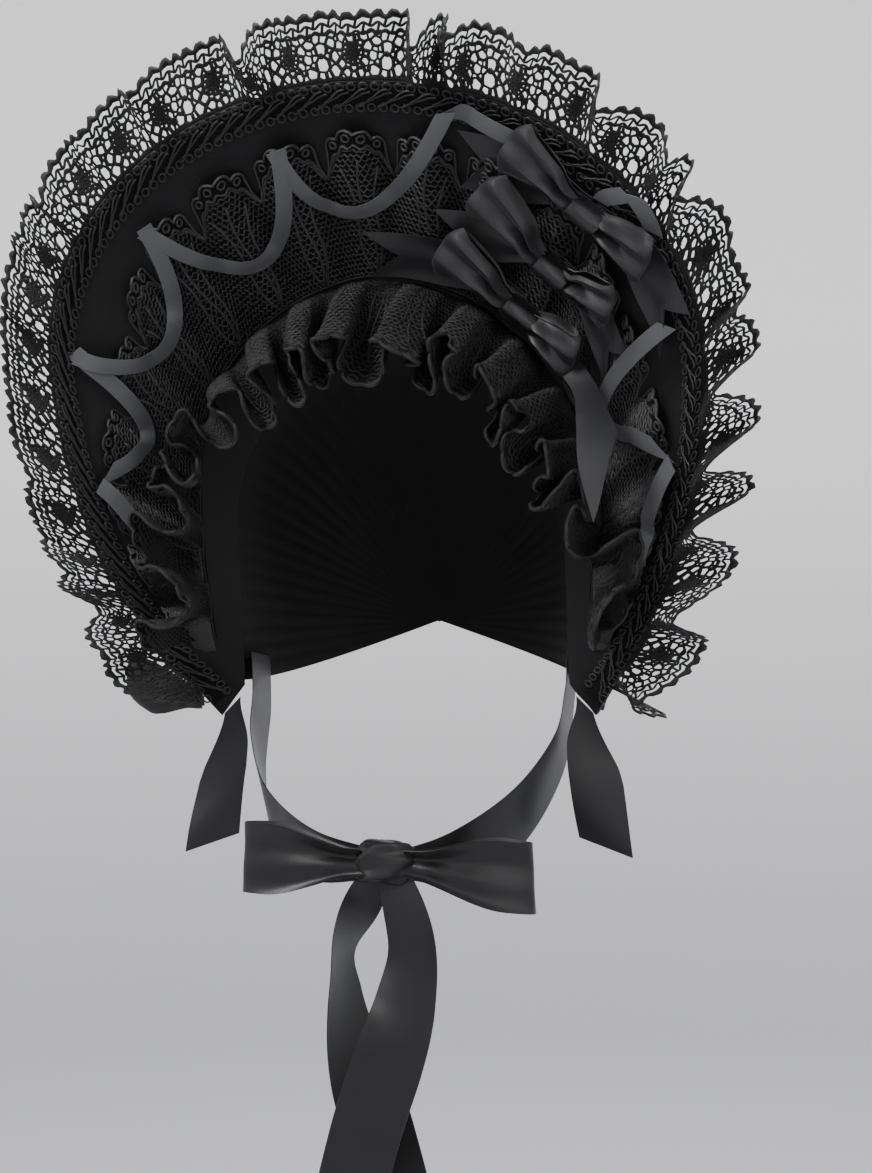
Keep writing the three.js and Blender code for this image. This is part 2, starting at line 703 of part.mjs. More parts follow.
add('side_loop_right', sideLoopGeometry(1), SATIN_RIBBON);
add('side_tail_left', sideTailGeometry(-1), SATIN_RIBBON);
add('side_tail_right', sideTailGeometry(1), SATIN_RIBBON);

export default bonnet;
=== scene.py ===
import logging
import math
from collections.abc import Callable
from dataclasses import dataclass
from enum import Enum

import bpy
import numpy as np
from mathutils import Matrix, Vector, geometry


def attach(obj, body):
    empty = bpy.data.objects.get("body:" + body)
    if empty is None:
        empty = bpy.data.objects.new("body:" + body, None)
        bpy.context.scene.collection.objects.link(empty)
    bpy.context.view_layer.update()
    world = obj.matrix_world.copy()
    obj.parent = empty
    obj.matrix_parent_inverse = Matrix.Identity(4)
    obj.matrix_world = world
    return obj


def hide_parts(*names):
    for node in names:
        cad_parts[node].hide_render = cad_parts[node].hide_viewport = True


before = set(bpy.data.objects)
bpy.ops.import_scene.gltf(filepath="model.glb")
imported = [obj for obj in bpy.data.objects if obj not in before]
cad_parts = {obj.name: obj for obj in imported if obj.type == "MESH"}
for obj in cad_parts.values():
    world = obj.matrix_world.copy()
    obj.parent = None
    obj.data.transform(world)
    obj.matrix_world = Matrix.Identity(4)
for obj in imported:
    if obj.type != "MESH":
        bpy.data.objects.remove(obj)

LOG = logging.getLogger("bonnet")
Array = np.ndarray
Piece = bpy.types.Object
# points in space for shares of a cloth's length and width
Surface = Callable[[Array, Array], Array]
# middle, side direction and width of a ribbon for shares of its length
Line = Callable[[Array], tuple[Array, Array, Array]]
Pair = tuple[float, float]
Triple = tuple[float, float, float]
TURN = 2 * math.pi
MM = 0.001
BODY = "root"


# ---------- sums on points
def unit(vectors: Array) -> Array:
    """Vectors brought to length one.

    Args:
        vectors: Array whose last axis is X, Y, Z.

    Returns:
        Array of the same shape.
    """
    return vectors / np.maximum(np.linalg.norm(vectors, axis=-1, keepdims=True), 1e-12)


def smooth(share: Array) -> Array:
    """Smooth step of a share that is first held between 0 and 1."""
    held = np.clip(share, 0.0, 1.0)
    return held * held * (3.0 - 2.0 * held)


def mix(a: Array, b: Array, share: Array) -> Array:
    """Straight blend from a to b."""
    return a + (b - a) * share


def column(values: Array) -> Array:
    """Numbers with one more axis, so that they scale vectors."""
    return np.asarray(values, float)[..., None]


def spline(rows: Array, at: Array) -> Array:
    """Catmull-Rom curve through the rows of a table.

    Args:
        rows: One row for each knot, any number of columns.
        at: Places from 0, the first row, to 1, the last.

    Returns:
        One row for each place.
    """
    rows = np.asarray(rows, float)
    last = len(rows) - 1
    place = np.clip(at, 0.0, 1.0) * last
    k = np.minimum(place.astype(int), last - 1)
    s = column(place - k)
    padded = np.vstack([2 * rows[0] - rows[1], rows, 2 * rows[-1] - rows[-2]])
    a, b, c, d = (padded[k + j] for j in range(4))
    return 0.5 * (2 * b + (c - a) * s + (2 * a - 5 * b + 4 * c - d) * s**2
                  + (3 * b - a - 3 * c + d) * s**3)


def spline_ahead(rows: Array, at: Array) -> Array:
    """Direction of a spline at each place, from the first three columns of its rows.

    Args:
        rows: One row for each knot.
        at: Places from 0 to 1.

    Returns:
        Vectors of length one.
    """
    step = 0.02
    return unit(spline(rows, np.minimum(at + step, 1))[..., :3]
                - spline(rows, np.maximum(at - step, 0))[..., :3])


def run_along(points: Array) -> Array:
    """Distance along a line, from its first point to each of its points."""
    steps = np.linalg.norm(np.diff(points, axis=0), axis=1)
    return np.concatenate([[0.0], np.cumsum(steps)])


# ---------- meshes
def deselect() -> None:
    """Leaves nothing selected, so that an operator acts on new work alone."""
    for item in bpy.context.selected_objects:
        item.select_set(False)
    bpy.context.view_layer.objects.active = None


def choose(piece: Piece) -> None:
    """Makes a piece the only selected and active one.

    Args:
        piece: The piece.
    """
    deselect()
    piece.select_set(True)
    bpy.context.view_layer.objects.active = piece


def mesh_piece(name: str, points: Array, quads: Array) -> Piece:
    """Makes an object from points and four-sided faces.

    Args:
        name: Name of the piece.
        points: One row of X, Y, Z for each point, in metres.
        quads: One row of four point numbers for each face, turning outward.

    Returns:
        The new object, at the origin.
    """
    mesh = bpy.data.meshes.new(name)
    mesh.vertices.add(len(points))
    mesh.vertices.foreach_set("co", points.astype(np.float32).ravel())
    mesh.loops.add(quads.size)
    mesh.loops.foreach_set("vertex_index", quads.astype(np.int32).ravel())
    mesh.polygons.add(len(quads))
    mesh.polygons.foreach_set("loop_start", np.arange(0, quads.size, 4, dtype=np.int32))
    mesh.update(calc_edges=True)
    mesh.validate()
    piece = bpy.data.objects.new(name, mesh)
    bpy.context.collection.objects.link(piece)
    return piece


def points_of(piece: Piece) -> Array:
    """Points of a piece's mesh.

    Args:
        piece: The piece.

    Returns:
        One row of X, Y, Z for each point.
    """
    flat = np.empty(len(piece.data.vertices) * 3, np.float32)
    piece.data.vertices.foreach_get("co", flat)
    return flat.reshape(-1, 3).astype(float)


def move_points(piece: Piece, points: Array) -> None:
    """Puts the points of a piece's mesh in new places."""
    piece.data.vertices.foreach_set("co", points.astype(np.float32).ravel())
    piece.data.update()


def cloth_piece(name: str, surface: Surface, columns: int, rows: int, wall: float,
                cut: Pair) -> Piece:
    """Shapes a flat grid of cloth over a surface and gives it its wall.

    Args:
        name: Name of the piece.
        surface: Place in space for shares u and v of the cloth's length and width.
        columns: Cells along the length.
        rows: Cells across the width.
        wall: Thickness of the cloth.
        cut: Length and width that the cloth's UV map carries, in metres.

    Returns:
        The finished piece.
    """
    deselect()
    bpy.ops.mesh.primitive_grid_add(x_subdivisions=columns, y_subdivisions=rows, size=1.0)
    piece = bpy.context.active_object
    piece.name = piece.data.name = name
    mesh = piece.data
    share = points_of(piece) + 0.5
    move_points(piece, surface(share[:, 0], share[:, 1]))
    corner = np.empty(len(mesh.loops), np.int32)
    mesh.loops.foreach_get("vertex_index", corner)
    uv = (share[corner, :2] * np.array(cut)).astype(np.float32)
    mesh.uv_layers.active.data.foreach_set("uv", uv.ravel())
    mesh.update()
    choose(piece)
    solid = piece.modifiers.new("wall", "SOLIDIFY")
    solid.thickness = wall
    solid.offset = 0.0
    bpy.ops.object.modifier_apply(modifier=solid.name)
    bpy.ops.object.shade_smooth_by_angle(angle=math.radians(50))
    return piece


class CordWork:
    """Collects cords of a flattened section and joins them in one piece.

    A cord's section has four corners: its two edges and its two crowns.
    """

    def __init__(self) -> None:
        """Starts with no cord."""
        self.points: list[Array] = []
        self.quads: list[Array] = []
        self.count = 0

    def lay(self, middle: Array, normal: Array, half_width: Array, half_height: Array,
            closed: bool) -> None:
        """Adds cords that all have the same number of points.

        Args:
            middle: Centre lines, cords by points by X, Y, Z.
            normal: Direction of the crown at each point.
            half_width: Half width at each point, or one number.
            half_height: Half height at each point, or one number.
            closed: Whether each cord's ends meet.
        """
        cords, steps = middle.shape[:2]
        if closed:
            along = np.roll(middle, -1, axis=1) - np.roll(middle, 1, axis=1)
        else:
            along = np.gradient(middle, axis=1)
        side = unit(np.cross(along, normal))
        crown = unit(np.cross(side, along))
        wide = column(np.broadcast_to(half_width, (cords, steps)))
        high = column(np.broadcast_to(half_height, (cords, steps)))
        corners = np.stack([middle + side * wide, middle + crown * high,
                            middle - side * wide, middle - crown * high], axis=2)
        index = np.arange(cords * steps * 4).reshape(cords, steps, 4) + self.count
        following = np.roll(index, -1, axis=1)
        if not closed:
            self.quads.append(index[:, 0, :].reshape(-1, 4))
            self.quads.append(index[:, -1, ::-1].reshape(-1, 4))
            index, following = index[:, :-1], following[:, :-1]
        turned, turned_on = np.roll(index, -1, axis=2), np.roll(following, -1, axis=2)
        self.quads.append(np.stack([index, following, turned_on, turned], axis=-1).reshape(-1, 4))
        self.points.append(corners.reshape(-1, 3))
        self.count += cords * steps * 4

    def piece(self, name: str) -> Piece:
        """Joins all cords in one smooth-shaded object of that name.

        Args:
            name: Name of the piece.

        Returns:
            The new piece.
        """
        made = mesh_piece(name, np.concatenate(self.points), np.concatenate(self.quads))
        made.data.shade_smooth()
        return made


# ---------- finishes
class Term:
    """A shader socket that takes part in Python sums."""

    def __init__(self, dye: "Dye", socket: bpy.types.NodeSocket) -> None:
        """Keeps the socket and the dye book it belongs to."""
        self.dye = dye
        self.socket = socket

    def _sum(self, operation: str, first: object, second: object = None) -> "Term":
        """Adds one Math node and returns its result."""
        values = {0: first} if second is None else {0: first, 1: second}
        return self.dye.node("ShaderNodeMath", {"operation": operation}, values)

    def __add__(self, other: "Term | float") -> "Term":
        """Sum."""
        return self._sum("ADD", self, other)

    __radd__ = __add__

    def __sub__(self, other: "Term | float") -> "Term":
        """Difference."""
        return self._sum("SUBTRACT", self, other)

    def __rsub__(self, other: float) -> "Term":
        """Reflected difference."""
        return self._sum("SUBTRACT", other, self)

    def __mul__(self, other: "Term | float") -> "Term":
        """Product."""
        return self._sum("MULTIPLY", self, other)

    __rmul__ = __mul__

    def sine(self) -> "Term":
        """Sine of radians."""
        return self._sum("SINE", self)


class Dye:
    """The nodes of one finish."""

    def __init__(self, name: str) -> None:
        """Starts a material with only its shader and its output.

        Args:
            name: Name of the material.
        """
        self.material = bpy.data.materials.new(name)
        self.material.use_nodes = True
        self.tree = self.material.node_tree
        self.tree.nodes.clear()
        self.shader = self.tree.nodes.new("ShaderNodeBsdfPrincipled")
        output = self.tree.nodes.new("ShaderNodeOutputMaterial")
        self.tree.links.new(self.shader.outputs[0], output.inputs[0])

    def feed(self, socket: bpy.types.NodeSocket, value: object) -> None:
        """Links a term to a socket, or sets the socket's own value.

        Args:
            socket: The socket.
            value: A term, or a plain value.
        """
        if isinstance(value, Term):
            self.tree.links.new(value.socket, socket)
        else:
            socket.default_value = value

    def node(self, kind: str, settings: dict | None = None, inputs: dict | None = None,
             output: int | str = 0) -> Term:
        """Adds a node.

        Args:
            kind: The node's type.
            settings: Properties to set first; a ramp's stops are given as "stops".
            inputs: Values or terms by socket name or number.
            output: Name or number of the socket to return.

        Returns:
            The chosen output as a term.
        """
        made = self.tree.nodes.new(kind)
        for key, value in (settings or {}).items():
            if key == "stops":
                ramp = made.color_ramp.elements
                for k, (place, colour) in enumerate(value):
                    stop = ramp[k] if k < len(ramp) else ramp.new(place)
                    stop.position, stop.color = place, colour
            else:
                setattr(made, key, value)
        for key, value in (inputs or {}).items():
            self.feed(made.inputs[key], value)
        return Term(self, made.outputs[output])

    def set(self, **values: object) -> None:
        """Sets the shader's sockets; an underscore stands for a space in the name."""
        for key, value in values.items():
            self.feed(self.shader.inputs[key.replace("_", " ")], value)

    def noise(self, place: Term, scale: float, detail: float = 2.0,
              rough: float = 0.5) -> Term:
        """Noise at a place, about 0 to 1."""
        return self.node("ShaderNodeTexNoise", None,
                         {"Vector": place, "Scale": scale, "Detail": detail, "Roughness": rough})

    def tint(self, dark: tuple[float, ...], light: tuple[float, ...], share: Term) -> Term:
        """Colour between two, by a share."""
        return self.node("ShaderNodeMix", {"data_type": "RGBA"},
                         {0: share, 6: (*dark, 1.0), 7: (*light, 1.0)}, 2)

    def bump(self, height: Term, distance: float) -> Term:
        """Normal of a surface raised by a height."""
        return self.node("ShaderNodeBump", None,
                         {"Height": height, "Distance": distance, "Strength": 1.0})


class Weave(Enum):
    """How a cloth's threads lie."""

    PLAIN = "plain"
    SATIN = "satin"
    CORD = "cord"


@dataclass(frozen=True)
class Finish:
    """The look of one cloth, ribbon or thread.

    Fields are the name, the record's slot, which nothing reads, dark and light colours, roughness,
    sheen, how the threads lie, their pitch in metres, how much they stand up and how much they
    shine.
    """

    name: str
    slot: str
    dark: Triple
    light: Triple
    roughness: float
    sheen: float
    weave: Weave
    pitch: float
    relief: float
    specular: float = 0.5

    # how fine the noise is: worn patches, fibres, and hairs on a cord
    PATCHES, FIBRES, HAIRS = 38.0, 900.0, 2600.0
    # how far the patches and the fibres shift the colour, and the patches the roughness
    WEAR, FLECK, POLISH = 0.9, 0.7, 0.16
    # share of the fibres in the height, and how much the lengthwise threads show
    THREADS = {Weave.PLAIN: (0.5, 1.0), Weave.SATIN: (0.06, 0.35)}

    def make(self) -> bpy.types.Material:
        """Builds the material.

        Returns:
            The material, ready to assign.
        """
        dye = Dye(self.name)
        body = dye.node("ShaderNodeTexCoord", output="Object")
        patches = dye.noise(body, self.PATCHES, 3.0)
        fibre = dye.noise(body, self.FIBRES, 2.0, 0.7)
        share = (patches - 0.5) * self.WEAR + (fibre - 0.5) * self.FLECK + 0.5
        if self.weave is Weave.CORD:
            height = fibre + dye.noise(body, self.HAIRS, 1.0)
        else:
            fuzz, along = self.THREADS[self.weave]
            height = fibre * fuzz + self._threads(dye, along)
        dye.set(Base_Color=dye.tint(self.dark, self.light, share),
                Roughness=self.roughness + (patches - 0.5) * self.POLISH,
                Sheen_Weight=self.sheen, Sheen_Roughness=0.45,
                Specular_IOR_Level=self.specular,
                Normal=dye.bump(height, self.pitch * self.relief))
        return dye.material

    def _threads(self, dye: Dye, along: float) -> Term:
        """Height of crossing threads.

        Args:
            dye: The finish being built.
            along: How much the threads that run along the cloth show beside the others.

        Returns:
            Height, about 0 to 1.
        """
        turn = TURN / self.pitch
        split = dye.tree.nodes.new("ShaderNodeSeparateXYZ")
        dye.feed(split.inputs[0], dye.node("ShaderNodeTexCoord", output="UV"))
        u, v = Term(dye, split.outputs[0]), Term(dye, split.outputs[1])
        return ((v * turn).sine() * along + (u * turn).sine()) * 0.25 + 0.5


def grey(level: float, blue: float) -> Triple:
    """A grey whose blue is a little stronger."""
    return level, level, blue


BRIM_CLOTH = Finish("brim_cloth", "brim_cloth", grey(0.0035, 0.0040), grey(0.0060, 0.0068),
                    0.62, 0.05, Weave.PLAIN, 0.0009, 0.10, 0.22)
CAP_CLOTH = Finish("cap_cloth", "cap_cloth", grey(0.004, 0.0045), grey(0.007, 0.008),
                   0.75, 0.06, Weave.PLAIN, 0.0009, 0.12, 0.2)
COTTON_LACE = Finish("cotton_lace", "cotton_lace", grey(0.0030, 0.0033), grey(0.0080, 0.0088),
                     0.66, 0.05, Weave.CORD, 0.0008, 0.35, 0.3)
# the cords' tone differs at random between the dark and the light colour; the light colour is set
# far above the face frill's copy of the same lace, as painted highlight on the collar's threads
HIGHLIT_CORDED_LACE = Finish("corded_lace", "corded_lace", grey(0.0050, 0.0053), grey(0.0330, 0.0348),
                     0.42, 0.05, Weave.CORD, 0.0008, 0.45, 0.55)
# painted shade: a darker copy of the corded lace, for the frill that stands round the face
SHADED_FRILL_CORD = Finish("shaded_frill_cord", "corded_lace", grey(0.0024, 0.0026), grey(0.0080, 0.0086),
                    0.50, 0.03, Weave.CORD, 0.0008, 0.45, 0.38)
# painted shade: the ground under the lace cords and the braid's backing are made nearly black to
# stand for the shadow between the cords
SHADED_LACE_GROUND = Finish("shaded_lace_ground", "corded_lace", grey(0.0012, 0.0014), grey(0.0030, 0.0034),
                     0.85, 0.02, Weave.PLAIN, 0.0011, 0.5, 0.15)
GIMP = Finish("gimp_cord", "gimp_braid", grey(0.0045, 0.0050), grey(0.0135, 0.0146),
              0.40, 0.05, Weave.CORD, 0.0008, 0.3, 0.5)
# painted shade: a darker copy of the satin ribbon, for the chin ties, the chin bow and the side
# ribbons
SHADED_CHIN_SATIN = Finish("shaded_chin_satin", "satin_ribbon", grey(0.0062, 0.0068), grey(0.0098, 0.0106),
                    0.36, 0.05, Weave.SATIN, 0.0007, 0.08, 0.34)
SATIN = Finish("satin_ribbon", "satin_ribbon", grey(0.0100, 0.0109), grey(0.0155, 0.0168),
               0.45, 0.06, Weave.SATIN, 0.0007, 0.08, 0.36)
NARROW_SATIN = Finish("narrow_satin", "satin_ribbon", grey(0.048, 0.052), grey(0.070, 0.076),
                      0.42, 0.20, Weave.SATIN, 0.0006, 0.08, 0.45)
# painted shade: a darker copy of the satin ribbon, for the knots wrapped between the bow loops
SHADED_KNOT_SATIN = Finish("shaded_knot_satin", "satin_ribbon", grey(0.0022, 0.0027), grey(0.0042, 0.0050),
                    0.22, 0.03, Weave.SATIN, 0.0007, 0.04, 0.55)


class Workroom:
    """Dresses pieces, seats them on the body and logs how many faces each has."""

    def __init__(self) -> None:
        """Starts with no finish made."""
        self.made: dict[str, bpy.types.Material] = {}

    def finish(self, piece: Piece, finish: Finish, *nodes: str) -> None:
        """Gives a piece its finish and its body, and hides the CAD nodes that it replaces.

        Args:
            piece: The finished piece.
            finish: Its look.
            *nodes: CAD nodes that it replaces.
        """
        if finish.name not in self.made:
            self.made[finish.name] = finish.make()
        piece.data.materials.clear()
        piece.data.materials.append(self.made[finish.name])
        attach(piece, BODY)
        if nodes:
            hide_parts(*nodes)
        LOG.info("%s: %d faces", piece.name, len(piece.data.polygons))


def cloth_area(piece: Piece) -> float:
    """Area of one face of a piece of cloth, half of its closed shell's.

    Args:
        piece: A piece with a wall.

    Returns:
        Square metres.
    """
    areas = np.empty(len(piece.data.polygons), np.float32)
    piece.data.polygons.foreach_get("area", areas)
    return float(areas.sum()) / 2


# ---------- brim
@dataclass
class Brim:
    """The flared brim: its rim, its face edge and the straight lines between them.

    t runs from -1 at the left end over the top, 0, to 1 at the right end. An inset is
    measured inward from the rim and a lift off the brim, toward the wearer's face side.
    """

    half_width: float = 0.183
    rise: float = 0.148
    drop: float = 0.235
    centre_z: float = -0.012
    fold_angle: float = 42.0
    straight_run: float = 0.040
    straight_from: float = 0.9
    top_y: float = -0.118
    end_y: float = 0.018
    sweep: float = 2.1
    face_radius: float = 0.098
    face_centre_z: float = -0.092
    face_leg: float = 0.092
    face_top_y: float = -0.013
    face_end_y: float = 0.016
    face_sweep: float = 1.6
    wall: float = 0.003
    seam_top: float = 0.052
    seam_end: float = 0.012
    seam_sweep: float = 1.2
    columns: int = 300
    rows: int = 20
    cut: Pair = (0.97, 0.14)
    cloth: Pair = (0.97, 0.17)
    ripple: float = 0.0008

    def rim(self, t: Array) -> Array:
        """Points of the outer edge.

        Args:
            t: Places on the brim.

        Returns:
            Points in space.
        """
        size = np.abs(t)
        share = np.minimum(size / self.straight_from, 1.0)
        angle = np.radians(90.0 - (90.0 + self.fold_angle) * share)
        height = np.where(np.sin(angle) > 0, self.rise, self.drop)
        y = mix(self.top_y, self.end_y, size**self.sweep)
        beyond = np.maximum(0.0, size - self.straight_from) / (1 - self.straight_from)
        run_x, run_z = self.half_width * np.sin(angle), -height * np.cos(angle)
        run = self.straight_run * beyond / np.hypot(run_x, run_z)
        x = self.half_width * np.cos(angle) + run_x * run
        z = self.centre_z + height * np.sin(angle) + run_z * run
        return np.stack([x * np.sign(t), y, z], axis=-1)

    def face(self, t: Array) -> Array:
        """Points of the inner edge, round the face.

        Args:
            t: Places on the brim.

        Returns:
            Points in space.
        """
        size = np.abs(t)
        arch = math.pi / 2 * self.face_radius
        run = (arch + self.face_leg) * size
        angle = np.minimum(run, arch) / self.face_radius
        below = np.maximum(0.0, run - arch)
        y = mix(self.face_top_y, self.face_end_y, size**self.face_sweep)
        x = np.sign(t) * self.face_radius * np.sin(angle)
        z = self.face_centre_z + self.face_radius * np.cos(angle) - below
        return np.stack([x, y, z], axis=-1)

    def depth(self, t: Array) -> Array:
        """Distance from rim to face edge."""
        return np.linalg.norm(self.rim(t) - self.face(t), axis=-1)

    def outward(self, t: Array) -> Array:
        """Direction from the face edge to the rim."""
        return unit(self.rim(t) - self.face(t))

    def flat(self, t: Array, inset: Array) -> Array:
        """Points of the brim's middle surface."""
        return self.rim(t) - self.outward(t) * column(inset)

    def off(self, t: Array, inset: Array) -> Array:
        """Direction off the brim, toward the face side.

        Args:
            t: Places on the brim.
            inset: Distance inward from the rim.

        Returns:
            Vectors of length one.
        """
        step = 1e-3
        along = self.flat(t + step, inset) - self.flat(t - step, inset)
        normal = unit(np.cross(along, self.outward(t)))
        return np.where(normal[..., 1:2] > 0, -normal, normal)

    def on(self, t: Array, inset: Array, lift: Array) -> Array:
        """Points at an inset and a lift."""
        t, inset, lift = np.broadcast_arrays(*(np.asarray(a, float) for a in (t, inset, lift)))
        return self.flat(t, inset) + self.off(t, inset) * column(lift)

    def seam(self, t: Array) -> Array:
        """Inset of the line where the two inner frills are sewn."""
        return self.depth(t) - mix(self.seam_top, self.seam_end, np.abs(t)**self.seam_sweep)

    def build(self, room: Workroom) -> None:
        """Makes the stiffened cloth of the brim.

        Args:
            room: The workroom.
        """
        def surface(u: Array, v: Array) -> Array:
            """The cloth from the rim, v = 0, to the face edge."""
            t = mix(-1.0, 1.0, u)
            ripple = self.ripple * np.sin(23 * t + 5 * v) * np.sin(math.pi * v)
            return self.on(t, v * self.depth(t), ripple)

        piece = cloth_piece("brim_board", surface, self.columns, self.rows, self.wall, self.cut)
        room.finish(piece, BRIM_CLOTH, "brim")
        cloth_area(piece)


# ---------- gathered lace
@dataclass
class Ruffle:
    """Lace gathered along a line of the brim.

    A place on it is given by s, the distance along the lace, and v, the distance from its
    sewn edge, both as it was before it was gathered.
    """

    width: float
    reach: float
    flutes: int
    base: Callable[[Array], Array]
    lift: float
    lean: Callable[[Array, Array], Array]
    wave: Callable[[Array, Array], Array]
    sway: Callable[[Array, Array], Array]
    toward_face: bool = False
    narrow: Callable[[Array], Array] = np.ones_like
    bend: float = 0.0
    puff: float = 0.0
    growth: float = 0.85
    samples: int = 6000
    even_at: float = 0.62
    repeat: float = 0.0

    def prepare(self, brim: Brim) -> "Ruffle":
        """Works out the sewn line and how far along the lace each place of it is.

        A flute takes up one repeat of the lace where a repeat is given.

        Args:
            brim: The brim it is sewn to.

        Returns:
            This ruffle, ready for use.
        """
        t = np.linspace(-self.reach, self.reach, self.samples)
        inset = self.base(t)
        self.t = t
        self.root = brim.on(t, inset, np.full_like(t, self.lift))
        self.away = brim.outward(t) * (-1.0 if self.toward_face else 1.0)
        self.off = brim.off(t, inset)
        self.along = unit(np.gradient(self.root, axis=0))
        self.angle = self.height = self.slide = np.zeros_like(t)
        self.taper = self.narrow(t)
        share = self._run(t)
        phase = TURN * self.flutes * share / share[-1]
        self.angle = np.radians(self.lean(t, phase))
        self.height = self.wave(t, phase)
        self.slide = self.sway(t, phase)
        self.run = self._run(t)
        if self.repeat:
            ends = np.interp(TURN * np.arange(self.flutes + 1), phase, self.run)
            self.run = np.interp(self.run, ends, self.repeat * np.arange(self.flutes + 1))
        self.length = float(self.run[-1])
        return self

    def _run(self, t: Array) -> Array:
        """Distance along the lace at each sample, measured where it is cut even."""
        middle = self._at(t, np.full_like(t, self.even_at * self.width))
        return run_along(middle)

    def _rows(self, table: Array, t: Array) -> Array:
        """Reads a prepared column or vector at places t.

        Args:
            table: The prepared column or vectors.
            t: Places on the brim.

        Returns:
            The table's values at those places.
        """
        if table.ndim == 1:
            return np.interp(t, self.t, table)
        return np.stack([np.interp(t, self.t, table[:, k]) for k in range(3)], axis=-1)

    def _at(self, t: Array, v: Array) -> Array:
        """Points for places t of the sewn line and distances v from it.

        Args:
            t: Places of the sewn line.
            v: Distance from the sewn edge.

        Returns:
            Points in space.
        """
        share = v / self.width
        angle = self._rows(self.angle, t) + math.radians(self.bend) * share
        away, off = self._rows(self.away, t), self._rows(self.off, t)
        standing = away * column(np.cos(angle)) + off * column(np.sin(angle))
        crest = off * column(np.cos(angle)) - away * column(np.sin(angle))
        rise = (self._rows(self.height, t) * np.maximum(share, 0.0)**self.growth
                + self.puff * share * (1 - share)**2)
        drift = self._rows(self.slide, t) * share
        deep = v * self._rows(self.taper, t)
        return (self._rows(self.root, t) + standing * column(deep) + crest * column(rise)
                + self._rows(self.along, t) * column(drift))

    def place(self, s: Array, v: Array) -> Array:
        """Points of the gathered lace.

        Args:
            s: Distance along the lace.
            v: Distance from its sewn edge.

        Returns:
            Points in space.
        """
        s, v = np.broadcast_arrays(np.asarray(s, float), np.asarray(v, float))
        return self._at(np.interp(s, self.run, self.t), v)

    def normal(self, s: Array, v: Array) -> Array:
        """Direction off the lace's face at each place.

        Args:
            s: Distance along the lace.
            v: Distance from the sewn edge.

        Returns:
            Vectors of length one.
        """
        step = 2e-4
        t0, t1 = (np.interp(np.clip(s + away, 0, self.length), self.run, self.t)
                  for away in (-step, step))
        t = np.interp(s, self.run, self.t)
        along = self._at(t1, v) - self._at(t0, v)
        out = self._at(t, v + step) - self._at(t, v - step)
        return unit(np.cross(along, out))


@dataclass
class LaceCords:
    """Draws cords on a ruffle from their flat pattern and collects them."""

    ruffle: Ruffle
    work: CordWork

    def draw(self, s: Array, v: Array, half_width: Array, half_height: Array, closed: bool,
             up: float = 0.0) -> None:
        """Lays cords that are given flat.

        Args:
            s: Distance along the lace, cords by points.
            v: Distance from the sewn edge, cords by points.
            half_width: Half width of the cords.
            half_height: Half height of the cords.
            closed: Whether each cord's ends meet.
            up: Distance off the lace's face.
        """
        normal = self.ruffle.normal(s, v)
        middle = self.ruffle.place(s, v) + normal * up
        self.work.lay(middle, normal, half_width, half_height, closed)


